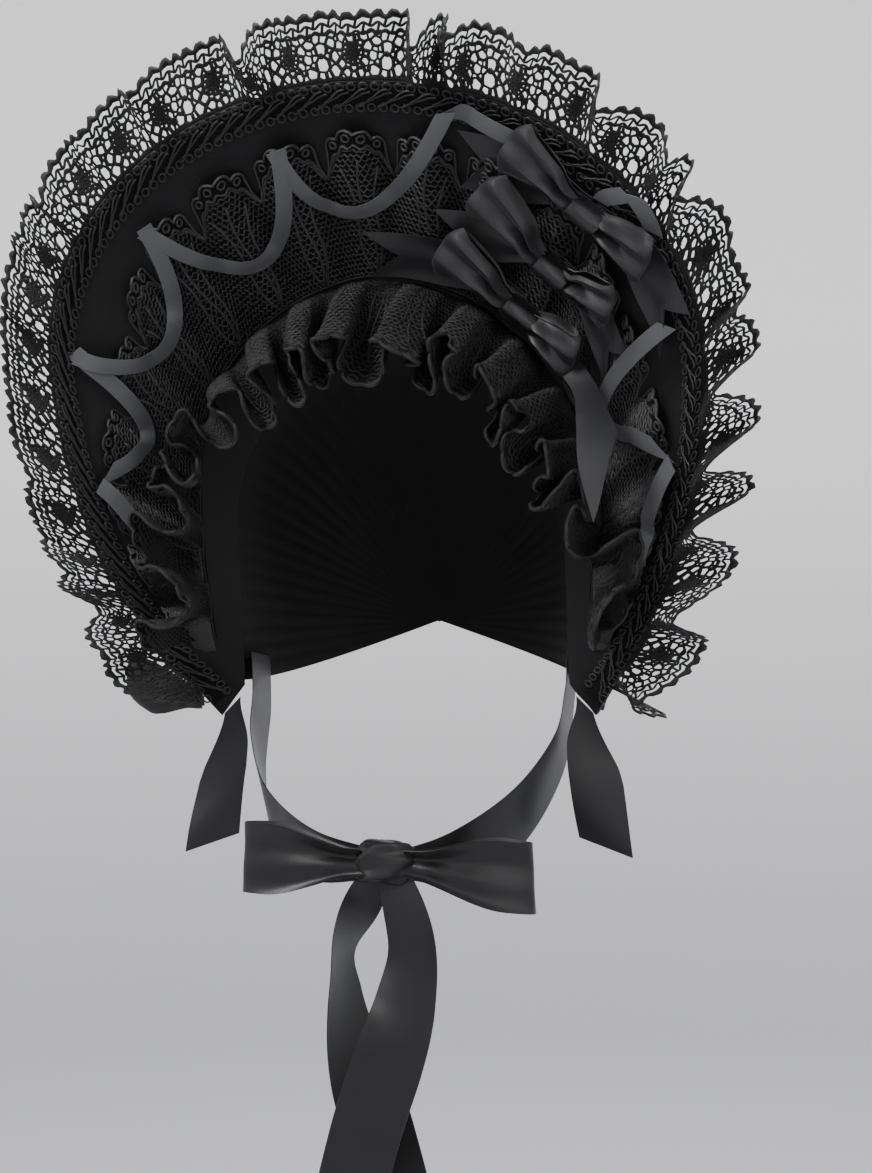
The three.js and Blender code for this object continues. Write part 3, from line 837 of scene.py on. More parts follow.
# ---------- edge lace
@dataclass
class EdgeLace:
    """Gathered bobbin lace beyond the rim: a web of rounded holes round dense flowers.

    The web of one repeat is worked out from its holes: each is a circle, and the threads
    run midway between neighbours. Above it lie two rows of long holes and a border with
    small scallops.
    """

    width: float = 0.041
    repeat: float = 0.039
    scallops: int = 5
    thread: float = 0.00084
    border_half: float = 0.0014
    border_bump: float = 0.0022
    border_at: float = 0.0372
    upper_wave_at: float = 0.0332
    lower_wave_at: float = 0.0293
    footing_at: float = 0.0050
    wave_rise: float = 0.0011
    flower_at: Pair = (0.0195, 0.0185)
    flower_reach: float = 0.0058
    seed: int = 11
    reach: float = 0.955
    sewn_inset: float = 0.0020
    lift: float = 0.0022
    height: float = 0.0005
    flower_cord: float = 0.0006
    flower_rings: Pair = (0.0011, 0.0030)
    flower_spread: float = 0.0050
    uneven: Pair = (0.75, 1.5)
    step: float = 0.0009
    footing_half: float = 0.0011
    wave_half: float = 0.00078
    bar_half: float = 0.00085
    hem_half: float = 0.0013
    edge_height: float = 0.0008
    edge_holes: int = 11

    # folds of the lace: place on the brim, half width of the fold, how far it leans
    FOLDS = (
        (-0.966, 0.064, 104), (-0.872, 0.019, 40), (-0.812, 0.020, 54), (-0.762, 0.018, 18),
        (-0.720, 0.020, 34), (-0.665, 0.020, 20), (-0.605, 0.022, 22), (-0.545, 0.022, 26),
        (-0.470, 0.022, 28), (-0.394, 0.020, 32), (-0.310, 0.018, 14), (-0.232, 0.016, 22),
        (-0.105, 0.018, 42), (0.087, 0.013, 42), (0.126, 0.013, 30), (0.205, 0.014, 16),
        (0.309, 0.020, 34), (0.392, 0.014, 22), (0.457, 0.020, 38), (0.535, 0.016, 10),
        (0.601, 0.014, 22), (0.664, 0.018, 42), (0.720, 0.018, 44), (0.780, 0.018, 43),
        (0.850, 0.020, 40), (0.925, 0.024, 50),
    )
    # large holes of one repeat: along, from the sewn edge, radius
    LARGE_HOLES = (
        (0.0000, 0.0132, 0.0038), (0.0074, 0.0090, 0.0032), (0.0316, 0.0090, 0.0031),
        (0.0005, 0.0211, 0.0030), (0.0150, 0.0086, 0.0025), (0.0235, 0.0082, 0.0024),
        (0.0078, 0.0166, 0.0027), (0.0310, 0.0166, 0.0026), (0.0064, 0.0240, 0.0026),
        (0.0330, 0.0243, 0.0025), (0.0135, 0.0268, 0.0021), (0.0262, 0.0270, 0.0021),
    )

    # rings of holes in a flower: count, radius, how far inside its reach, in millimetres
    RINGS = ((11, 1.15, 1.1), (7, 0.80, 3.3))
    # holes scattered between the others: least and most radius in millimetres, tries
    SCATTER = ((1.85, 2.5, 500), (1.35, 1.85, 900), (1.0, 1.35, 1200))

    def lean(self, t: Array, _phase: Array) -> Array:
        """Degrees that the lace leans toward the face side at each place.

        Args:
            t: Places on the brim.
            _phase: Phase of the flutes, not used.

        Returns:
            Degrees.
        """
        total = -9.0 + 3.0 * np.sin(17 * t + 1)
        for at, half, lean in self.FOLDS:
            x = (t - at) / half
            total = total + lean * (np.exp(-x * x) - 0.30 * np.exp(-((np.abs(x) - 1.75) / 0.8)**2))
        return total

    def wave(self, t: Array, _phase: Array) -> Array:
        """Ripples between the folds."""
        return 0.0022 * np.sin(97 * t + 2 * np.sin(9 * t)) + 0.0012 * np.sin(171 * t)

    def sway(self, t: Array, _phase: Array) -> Array:
        """Folds are drawn to one side, so that they hook over.

        Args:
            t: Places on the brim.
            _phase: Phase of the flutes, not used.

        Returns:
            Distance along the rim, in metres.
        """
        total = 0.003 * np.sin(23 * t)
        for at, half, _ in self.FOLDS:
            x = (t - at) / half
            total = total + 0.0050 * np.exp(-x * x) * math.sin(37 * at)
        return total

    def ruffle(self, brim: Brim) -> Ruffle:
        """The gathered surface of this lace.

        Args:
            brim: The brim.

        Returns:
            The ruffle, ready for use.
        """
        return Ruffle(width=self.width, reach=self.reach, flutes=1,
                      base=lambda t: np.full_like(t, self.sewn_inset), lift=self.lift,
                      lean=self.lean, wave=self.wave, sway=self.sway).prepare(brim)

    def holes(self) -> Array:
        """Holes of one repeat.

        Returns:
            One row for each hole: along, from the sewn edge, radius, in millimetres.
        """
        rng = np.random.default_rng(self.seed)
        repeat = self.repeat / MM
        low, high = self.footing_at / MM, self.lower_wave_at / MM
        placed = [tuple(value / MM for value in row) for row in self.LARGE_HOLES]
        fs, fv, reach = self.flower_at[0] / MM, self.flower_at[1] / MM, self.flower_reach / MM
        for count, radius, inside in self.RINGS:
            away = reach - inside
            for k in range(count):
                angle = TURN * (k + 0.3 * rng.random()) / count
                placed.append((fs + away * math.cos(angle), fv + away * math.sin(angle), radius))
        placed.append((fs, fv, 0.8))
        for least, most, tries in self.SCATTER:
            for _ in range(tries):
                s, v = rng.random() * repeat, mix(low, high, rng.random())
                gap = min(v - low, high - v) + 0.1
                for s2, v2, r2 in placed:
                    across = abs(s - s2)
                    gap = min(gap, math.hypot(min(across, repeat - across), v - v2) - r2)
                    if gap < least:
                        break
                if gap >= least:
                    placed.append((s, v, min(gap, most)))
        for s in np.arange(0, repeat, repeat / self.edge_holes):
            placed.append((s, low - 1.3, 1.3))
            placed.append((s + 1.0, high + 1.6, 1.4))
        return np.array(placed)

    def web(self) -> tuple[Array, Array]:
        """Threads between the holes of one repeat.

        Returns:
            Start and end of each thread: along and from the sewn edge, in metres.
        """
        repeat = self.repeat / MM
        holes = self.holes()
        around = np.concatenate([holes + (shift * repeat, 0, 0) for shift in (-1, 0, 1)])
        found = geometry.delaunay_2d_cdt([Vector(row[:2]) for row in around], [], [], 0, 1e-4)
        faces, origins = found[2], found[3]
        middle = {}
        shared: dict[tuple[int, int], list[int]] = {}
        for number, face in enumerate(faces):
            ids = [origins[k][0] for k in face]
            a, b, c = (around[k] for k in ids)
            left = np.array([b[:2] - a[:2], c[:2] - a[:2]]) * 2
            right = [b[:2] @ b[:2] - b[2]**2 - a[:2] @ a[:2] + a[2]**2,
                     c[:2] @ c[:2] - c[2]**2 - a[:2] @ a[:2] + a[2]**2]
            if abs(np.linalg.det(left)) < 1e-3:
                continue
            middle[number] = np.linalg.solve(left, right)
            for k in range(3):
                pair = tuple(sorted((ids[k], ids[(k + 1) % 3])))
                shared.setdefault(pair, []).append(number)
        starts, ends = [], []
        low, high = self.footing_at / MM - 0.9, self.lower_wave_at / MM + 0.9
        for numbers in shared.values():
            if len(numbers) < 2 or any(k not in middle for k in numbers):
                continue
            a, b = middle[numbers[0]], middle[numbers[1]]
            centre = (a + b) / 2
            if 0 <= centre[0] < repeat and low < centre[1] < high and np.hypot(*(a - b)) < 7:
                starts.append(a)
                ends.append(b)
        return np.array(starts) * MM, np.array(ends) * MM

    def _draw_web(self, cords: LaceCords, starts: Array) -> None:
        """Lays the web and the flower centres of some repeats.

        Args:
            cords: Draws and collects the cords.
            starts: Where each repeat starts along the lace.
        """
        first, last = self.web()
        rise = np.array([-0.04, 0.5, 1.04])
        line = first[:, None, :] + (last - first)[:, None, :] * rise[None, :, None]
        s = (starts[:, None, None] + line[None, ..., 0]).reshape(-1, 3)
        v = np.tile(line[..., 1], (len(starts), 1, 1)).reshape(-1, 3)
        rng = np.random.default_rng(self.seed + 1)
        middle = (first + last) / 2 - np.array(self.flower_at)
        dense = 1 + 0.25 * np.exp(-(np.hypot(middle[:, 0], middle[:, 1]) / self.flower_spread)**2)
        half = self.thread * rng.uniform(*self.uneven, len(first)) * dense
        cords.draw(s, np.clip(v, 0.0005, self.width),
                   np.tile(half[:, None], (len(starts), 1)), self.height, False)
        turn = np.linspace(0, TURN, 10, endpoint=False)
        for radius in self.flower_rings:
            ring_s = self.flower_at[0] + radius * np.cos(turn)
            ring_v = self.flower_at[1] + radius * np.sin(turn)
            cords.draw(starts[:, None] + ring_s[None], np.tile(ring_v, (len(starts), 1)),
                       self.flower_cord, self.flower_cord, True, 0.0001)

    def _draw_lines(self, cords: LaceCords, start: float, end: float) -> None:
        """Lays the footing, the two waves, their bars and the border over a stretch.

        Args:
            cords: Draws and collects the cords.
            start: Where the stretch starts along the lace.
            end: Where it ends.
        """
        pitch = self.repeat / self.scallops
        steps = int((end - start) / self.step)
        s = np.linspace(start, end, steps)[None]
        phase = TURN * s / pitch
        for at, half in ((0.0010, self.footing_half), (0.0029, self.footing_half),
                         (self.footing_at - 0.0003, 0.0010)):
            cords.draw(s, np.full_like(s, at), half, 0.00045, False)
        upper = self.upper_wave_at + self.wave_rise * np.cos(phase)
        lower = self.lower_wave_at + self.wave_rise * np.cos(phase + math.pi)
        cords.draw(s, upper, self.wave_half, self.height, False)
        cords.draw(s, lower, self.bar_half, self.height, False)
        uneven = 0.85 + 0.15 * np.sin(2.6 * phase)
        bump = (0.5 + 0.5 * np.cos(phase))**1.2 * uneven
        half = self.border_half + self.border_bump * bump / 2
        cords.draw(s, self.border_at + self.border_bump * bump / 2 + 0.0012 * bump, half,
                   self.edge_height, False)
        places = np.arange(math.ceil(start / pitch - 1e-6), math.floor(end / pitch)) * pitch
        rise = np.linspace(0, 1, 4)[None]
        for shift, low, high in ((0.5, self.upper_wave_at - 0.0008, self.border_at),
                                 (0.0, self.lower_wave_at - 0.0008, self.upper_wave_at + 0.001)):
            bar_s = places[:, None] + pitch * shift + (rise - 0.5) * 0.0014
            bar_v = np.broadcast_to(mix(low, high, rise), bar_s.shape)
            cords.draw(bar_s, bar_v, self.bar_half, self.height, False)

    def build(self, room: Workroom, brim: Brim) -> None:
        """Makes the lace in three lengths, from left to right.

        Args:
            room: The workroom.
            brim: The brim it is sewn to.
        """
        ruffle = self.ruffle(brim)
        repeats = int(ruffle.length // self.repeat)
        spare = (ruffle.length - repeats * self.repeat) / 2
        cuts = np.linspace(0, repeats, 4).round().astype(int)
        for k, name in enumerate(("edge_lace_left", "edge_lace_top", "edge_lace_right")):
            cords = LaceCords(ruffle, CordWork())
            starts = spare + np.arange(cuts[k], cuts[k + 1]) * self.repeat
            self._draw_web(cords, starts)
            ends = spare + cuts[k] * self.repeat, spare + cuts[k + 1] * self.repeat
            self._draw_lines(cords, *ends)
            hem = np.linspace(0.0, self.border_at, 14)[None]
            for s in {0: ends[:1], 2: ends[1:]}.get(k, ()):
                cords.draw(np.full_like(hem, s), hem, self.hem_half, self.edge_height, False)
            piece = cords.work.piece(name)
            room.finish(piece, COTTON_LACE, "edge_frill")
            length = (cuts[k + 1] - cuts[k]) * self.repeat
            declare_lace(piece, length, self.width)
        LOG.info("edge lace is %.3f m long before gathering, %d repeats", ruffle.length, repeats)


def declare_lace(piece: Piece, length: float, width: float) -> None:
    """Works out the area of lace as a gathered sheet, between three tenths of its flat area and all
    of it; the result is not kept. Declares lace as a gathered sheet whose area is its thread's.

    Args:
        piece: The lace.
        length: Length before gathering.
        width: Depth of the lace.
    """
    area = min(max(cloth_area(piece), 0.3 * length * width), length * width)


# ---------- corded lace
@dataclass
class CordedLace:
    """Guipure lace: petals with eyelets at their tips, corded outlines and a bumpy net."""

    name: str
    node: str
    parts: int
    width: float
    repeat: float
    valley: float
    row_pitch: float = 0.0030
    stitch: float = 0.0018
    net_rise: float = 0.0010
    cord: float = 0.00078
    cord_height: float = 0.0012
    ground_wall: float = 0.0005
    eyelet: float = 0.0021
    eyelet_ring: float = 0.0050
    tip: float = 0.0090
    inner_tip: float = 0.0102
    net_tip: float = 0.0105
    vein_tip: float = 0.018
    edge_gap: float = 0.0008
    net_gap: float = 0.0015
    net_half: float = 0.00066
    uneven: Pair = (0.40, 1.55)
    up: float = 0.0004
    finish: Finish = HIGHLIT_CORDED_LACE

    # eyelets of one petal: along as a share of the repeat, below the tip, size
    EYELETS = ((-0.30, 0.0098, 0.95), (-0.10, 0.0053, 1.05), (0.10, 0.0058, 1.0),
               (0.30, 0.0105, 0.9))
    # veins of one petal: lean and bow as shares of the repeat, length as a share
    VEINS = ((0.02, 0.05, 1.0), (0.27, 0.06, 0.93), (-0.25, -0.06, 0.93))

    def edge(self, s: Array) -> Array:
        """Distance from the sewn edge to the free edge: three scallops a petal.

        Args:
            s: Distance along the lace.

        Returns:
            Distances, in metres.
        """
        share = (s / self.repeat) % 1.0 - 0.5
        size = np.abs(share) * 2
        reach = self.width - self.tip - self.valley * size**3.0
        for at, below, radius in self.EYELETS:
            away = (share - at) * self.repeat
            ring = self.eyelet_ring * radius
            top = self.width - below + np.sqrt(np.maximum(ring**2 - away**2, 0.0))
            reach = np.where(np.abs(away) < ring, np.maximum(reach, top), reach)
        return reach

    def build(self, room: Workroom, ruffle: Ruffle) -> None:
        """Makes the ground cloth and the cords of this frill.

        Args:
            room: The workroom.
            ruffle: Its gathered surface.
        """
        repeats = int(round(ruffle.length / self.repeat - 0.45))
        start = max(0.0, (ruffle.length - repeats * self.repeat) / 2)
        ground = self._ground(ruffle, start, repeats)
        # the ground's nearly black finish is painted shade between the cords
        room.finish(ground, SHADED_LACE_GROUND, self.node)
        length = repeats * self.repeat
        min(cloth_area(ground), self.width * length)
        cuts = np.linspace(0, repeats, self.parts + 1).round().astype(int)
        for k in range(self.parts):
            cords = LaceCords(ruffle, CordWork())
            first, last = cuts[k], cuts[k + 1]
            ends = start + first * self.repeat, start + last * self.repeat
            self._outline(cords, *ends, start)
            for repeat in range(first, last):
                self._motif(cords, start + repeat * self.repeat)
            self._net(cords, *ends, start)
            piece = cords.work.piece(f"{self.name}_cords_{k + 1}")
            room.finish(piece, self.finish)
            declare_lace(piece, (last - first) * self.repeat, self.width)
        LOG.info("%s is %.3f m long before gathering", self.name, ruffle.length)

    def _ground(self, ruffle: Ruffle, start: float, repeats: int) -> Piece:
        """The cloth between the cords.

        Args:
            ruffle: The gathered surface.
            start: Where the first petal starts.
            repeats: How many petals.

        Returns:
            The cloth.
        """
        length = repeats * self.repeat

        def surface(u: Array, v: Array) -> Array:
            """The cloth from the seam to the free edge."""
            s = start + u * length
            return ruffle.place(s, v * (self.edge(s - start) - self.cord))

        return cloth_piece(f"{self.name}_ground", surface, repeats * 24, 16, self.ground_wall,
                           (length, self.width))

    def _outline(self, cords: LaceCords, start: float, end: float, zero: float) -> None:
        """The double cord along the free edge and the cord along the seam.

        Args:
            cords: Draws and collects the cords.
            start: Where the stretch starts along the lace.
            end: Where it ends.
            zero: Where the first petal starts.
        """
        s = np.linspace(start, end, int((end - start) / 0.0010))[None]
        edge = self.edge(s - zero)
        cords.draw(s, edge - self.edge_gap, self.cord, self.cord_height, False, self.up)
        inner = np.minimum(edge - self.edge_gap, self._inner(s - zero))
        cords.draw(s, inner, self.cord, self.cord_height, False, self.up)
        cords.draw(s, np.full_like(s, 0.001), self.cord, 0.0008, False, self.up)

    def _inner(self, s: Array) -> Array:
        """The second cord, which passes below the eyelets.

        Args:
            s: Distance along the lace.

        Returns:
            Distance from the sewn edge.
        """
        share = (s / self.repeat) % 1.0 - 0.5
        scallop = 0.0012 * np.cos(TURN * 6 * share)
        return self.width - self.inner_tip - self.valley * (np.abs(share) * 2)**2.6 + scallop

    def _motif(self, cords: LaceCords, start: float) -> None:
        """Eyelets and vein cords of one petal.

        Args:
            cords: Draws and collects the cords.
            start: Where the petal starts.
        """
        turn = np.linspace(0, TURN, 12, endpoint=False)
        middle = start + self.repeat / 2
        for shift, below, size in self.EYELETS:
            s0, v0 = middle + shift * self.repeat, self.width - below
            s = (s0 + self.eyelet * size * np.cos(turn))[None]
            v = (v0 + self.eyelet * size * np.sin(turn))[None]
            cords.draw(s, v, self.cord * 0.95, self.cord_height, True, self.up)
        rise = np.linspace(0.03, 1.0, 20)[None]
        top = self.width - self.vein_tip
        for lean, bow, share in self.VEINS:
            s = middle + self.repeat * (lean * rise + bow * np.sin(TURN * rise))
            cords.draw(s, rise * top * share, self.cord * 1.1, self.cord_height * 1.15,
                       False, self.up)

    def _net(self, cords: LaceCords, start: float, end: float, zero: float) -> None:
        """Bumpy zigzag rows that touch, so that they close to a net.

        Args:
            cords: Draws and collects the cords.
            start: Where the stretch starts along the lace.
            end: Where it ends.
            zero: Where the first petal starts.
        """
        stitches = int((end - start) / self.stitch)
        s = np.linspace(start, end, stitches)[None]
        turn = np.where(np.arange(stitches) % 2 == 0, 1.0, -1.0)[None]
        inner = self._inner(s - zero) - self.net_gap
        count = int((self.width - self.net_tip) / self.row_pitch)
        rng = np.random.default_rng(len(self.name) + stitches)
        for k in range(1, count):
            level = k * self.row_pitch
            bulge = 0.10 * (inner - inner.min()) * (k / count)
            uneven = rng.uniform(*self.uneven, stitches)[None]
            v = level + bulge + self.net_rise * turn * uneven * (1.0 if k % 2 == 0 else -1.0)
            height = np.where(v < inner, self.cord_height, 0.0003)
            cords.draw(s, np.minimum(v, inner), self.net_half * uneven**0.5, height, False,
                       self.up * 0.8)


@dataclass
class Gathers:
    """Uneven numbers for the flutes of a frill, the same each time."""

    flutes: int
    seed: int

    def uneven(self, phase: Array, spread: float, seed: int) -> Array:
        """A number for each flute, blended from one to the next.

        Args:
            phase: Phase along the frill.
            spread: Largest number either way.
            seed: Picks the numbers.

        Returns:
            The number at each phase.
        """
        rng = np.random.default_rng(self.seed * 100 + seed)
        table = rng.uniform(-spread, spread, self.flutes + 2)
        return np.interp(phase / TURN, np.arange(self.flutes + 2) - 0.5, table)

    def bent(self, phase: Array) -> Array:
        """The phase drawn a little to and fro, so that no two flutes are the same width."""
        return phase + self.uneven(phase, 0.9, 1)


@dataclass
class InnerFrills:
    """The two corded frills sewn along one seam: outward on the brim and round the face."""

    collar_width: float = 0.092
    collar_flutes: int = 19
    collar_rise: float = 0.0030
    side_share: float = 0.76
    rim_margin: float = 0.0175
    frill_width: float = 0.078
    frill_end_share: float = 0.25
    frill_flutes: int = 15
    frill_rise: float = 0.0150
    repeat: float = 0.042
    reach: float = 0.9
    lift: float = 0.0030
    collar_sewn: float = 0.001
    frill_sewn: float = 0.002
    cord_top: float = 0.0022
    past_edge: float = 1.08

    # how the face frill stands: place on the brim, degrees from the brim's plane
    LEAN = ((0.0, 60), (0.5, 88), (0.62, 100), (0.74, 120), (1.0, 130))

    def collar(self, brim: Brim) -> Ruffle:
        """Surface of the frill that lies outward on the brim.

        Args:
            brim: The brim.

        Returns:
            The ruffle, ready for use.
        """
        gathers = Gathers(self.collar_flutes, 3)

        def lean(_t: Array, phase: Array) -> Array:
            """Degrees that it leans off the brim."""
            return 2.6 - 1.2 * np.cos(phase) + gathers.uneven(phase, 0.8, 2)

        def wave(_t: Array, phase: Array) -> Array:
            """Height of its flutes."""
            return -self.collar_rise * (np.cos(phase) + 0.35 * np.cos(2 * phase + 0.8)) * (
                1 + gathers.uneven(phase, 0.3, 4))

        def sway(_t: Array, phase: Array) -> Array:
            """How far it is drawn aside."""
            return 0.0022 * np.sin(phase) + gathers.uneven(phase, 0.003, 5)

        def narrow(t: Array) -> Array:
            """Share of its width that shows."""
            full = mix(1.0, self.side_share, smooth((np.abs(t) - 0.3) / 0.2))
            return np.minimum(full, (brim.seam(t) - self.rim_margin) / self.collar_width)

        return Ruffle(width=self.collar_width, reach=self.reach, flutes=self.collar_flutes,
                      base=lambda t: brim.seam(t) - self.collar_sewn, lift=self.lift,
                      lean=lean, wave=wave, sway=sway, repeat=self.repeat, even_at=0.9,
                      narrow=narrow).prepare(brim)

    def frill(self, brim: Brim) -> Ruffle:
        """Surface of the frill that stands round the face.

        Args:
            brim: The brim.

        Returns:
            The ruffle, ready for use.
        """
        places, leans = zip(*self.LEAN)
        gathers = Gathers(self.frill_flutes, 7)

        def lean(t: Array, phase: Array) -> Array:
            """Degrees that it stands off the brim."""
            return np.interp(np.abs(t), places, leans) + gathers.uneven(phase, 11.0, 2)

        def wave(_t: Array, phase: Array) -> Array:
            """Height of its flutes."""
            bent = gathers.bent(phase)
            return self.frill_rise * (np.sin(bent) + 0.22 * np.sin(2 * bent + 1)) * (
                1 + gathers.uneven(phase, 0.28, 3))

        def sway(_t: Array, phase: Array) -> Array:
            """How far it is drawn aside."""
            bent = gathers.bent(phase)
            return (-0.0065 * np.sin(2 * bent) * (1 + gathers.uneven(phase, 0.5, 4))
                    + gathers.uneven(phase, 0.006, 6))

        return Ruffle(width=self.frill_width, reach=self.reach, flutes=self.frill_flutes,
                      base=lambda t: brim.seam(t) + self.frill_sewn, lift=self.lift,
                      lean=lean, wave=wave, sway=sway, toward_face=True, bend=22.0,
                      growth=0.75, puff=0.075,
                      narrow=lambda t: 1 - self.frill_end_share * np.abs(t)).prepare(brim)

    def height(self, brim: Brim, t: Array, inset: Array) -> Array:
        """Height of the outward frill above the brim at a place, to the top of its cords.

        Args:
            brim: The brim.
            t: Places on the brim.
            inset: Distance inward from the rim.

        Returns:
            Heights, in metres; zero beyond the frill's edge.
        """
        collar = self.sewn
        deep = np.clip(brim.seam(t) - self.collar_sewn - inset, 0.0, collar.width)
        v = deep / np.interp(t, collar.t, collar.taper)
        covered = v < self.past_edge * collar.width
        share = np.minimum(v / collar.width, 1.0) * covered
        angle = np.interp(t, collar.t, collar.angle)
        rise = np.interp(t, collar.t, collar.height) * share**collar.growth
        lifted = collar.lift + deep * np.sin(angle) + rise * np.cos(angle) + self.cord_top
        return np.where(covered, lifted, 0.0)

    def build(self, room: Workroom, brim: Brim) -> None:
        """Makes both frills.

        Args:
            room: The workroom.
            brim: The brim they are sewn to.
        """
        self.sewn = self.collar(brim)
        collar = CordedLace("lace_collar", "lace_collar", 2, self.collar_width, self.repeat, 0.020)
        collar.build(room, self.sewn)
        # the face frill's cords take the darker copy of the lace, as painted shade
        frill = CordedLace("face_frill", "face_frill", 3, self.frill_width, self.repeat, 0.012,
                           up=0.0, finish=SHADED_FRILL_CORD)
        frill.build(room, self.frill(brim))


# ---------- braid
@dataclass
class Braid:
    """Gimp braid along the rim: two rows of small loops with curved cords between them."""

    inset: float = 0.0066
    half_width: float = 0.0076
    lift: float = 0.0036
    reach: float = 0.980
    loop_pitch: float = 0.0064
    loop_radius: float = 0.0022
    scroll_pitch: float = 0.0118
    scroll_length: float = 0.0185
    thread: float = 0.00060
    base_wall: float = 0.0009
    base_cut: float = 0.013
    end_gap: float = 0.004
    scroll_gap: float = 0.002

    # the two cords of a scroll: how far the second starts after the first, reach across
    SCROLLS = ((0.0, 0.0052), (0.0024, 0.0034))

    def build(self, room: Workroom, brim: Brim) -> None:
        """Makes the braid's backing and its cords.

        Args:
            room: The workroom.
            brim: The brim it is sewn to.
        """
        t = np.linspace(-self.reach, self.reach, 3000)
        line = brim.on(t, np.full_like(t, self.inset), np.full_like(t, self.lift))
        run = run_along(line)
        length = float(run[-1])

        def place(s: Array, across: Array, up: Array | float) -> Array:
            """Points of the braid, from its middle line."""
            at = np.interp(s, run, t)
            return brim.on(at, self.inset - across, self.lift + up)

        def backing(u: Array, v: Array) -> Array:
            """The backing tape."""
            return place(u * length, (v - 0.5) * 1.5 * self.half_width, 0.0)

        base = cloth_piece("braid_backing", backing, 260, 2, self.base_wall,
                           (length, self.base_cut))
        # the backing's nearly black finish is painted shade between the braid's cords
        room.finish(base, SHADED_LACE_GROUND, "braid")
        work = CordWork()
        turn = np.linspace(0, TURN, 12, endpoint=False)[None]
        for side in (-1.0, 1.0):
            middle = np.arange(self.end_gap, length - self.end_gap, self.loop_pitch)
            middle = (middle + 0.0015 * side)[:, None]
            s = middle + self.loop_radius * np.cos(turn)
            across = side * (self.half_width - 0.0016) + self.loop_radius * np.sin(turn)
            across = np.broadcast_to(across, s.shape)
            self._cord(work, place, s, across, 0.0008 + 0.0002 * np.sin(turn), True)
        last = length - self.scroll_length - self.scroll_gap
        starts = np.arange(self.scroll_gap, last, self.scroll_pitch)[:, None]
        rise = np.linspace(0, 1, 18)[None]
        for shift, reach in self.SCROLLS:
            s = starts + shift + self.scroll_length * rise
            across = -reach * np.cos(math.pi * rise) * (1 - 0.35 * np.sin(math.pi * rise)**8)
            across = np.broadcast_to(across, s.shape)
            up = 0.0010 + 0.0016 * rise
            self._cord(work, place, s, across, up, False)
        cords = work.piece("braid_cords")
        room.finish(cords, GIMP)
        LOG.info("braid is %.3f m long", length)

    def _cord(self, work: CordWork, place: Callable, s: Array, across: Array, up: Array,
              closed: bool) -> None:
        """Lays one kind of the braid's cords.

        Args:
            work: Where the cords are collected.
            place: Gives the points of the braid.
            s: Distance along the braid.
            across: Distance from its middle line.
            up: Height off its backing.
            closed: Whether the ends meet.
        """
        up = np.broadcast_to(up, s.shape)
        middle = place(s, across, up)
        normal = unit(place(s, across, up + 0.001) - middle)
        work.lay(middle, normal, self.thread, self.thread, closed)


# ---------- ribbons
def ribbon_surface(line: Line, curl: float = 0.0,
                   slant: float = 0.0, cut_from: float = 0.8) -> Surface:
    """Surface of a ribbon along a line.

    Args:
        line: Gives the middle, the side direction and the width at shares of the length.
        curl: How much the edges lift, as a share of the width.
        slant: How much shorter one edge is cut, as a share of the length.
        cut_from: Share of the length from which the slanting cut draws the ribbon in.

    Returns:
        The surface.
    """
    def surface(u: Array, v: Array) -> Array:
        """The ribbon, its edges lifted and its end cut."""
        late = smooth((u - cut_from) / (1 - cut_from))
        reach = u * (1 - late * (slant * (1 - v)))
        middle, side, width = line(reach)
        ahead = line(np.minimum(reach + 0.01, 1.0))[0] - line(np.maximum(reach - 0.01, 0.0))[0]
        face = unit(np.cross(ahead, side))
        across = v - 0.5
        return (middle + side * column(width * across)
                + face * column(curl * width * (4 * across**2 - 0.33)))

    return surface


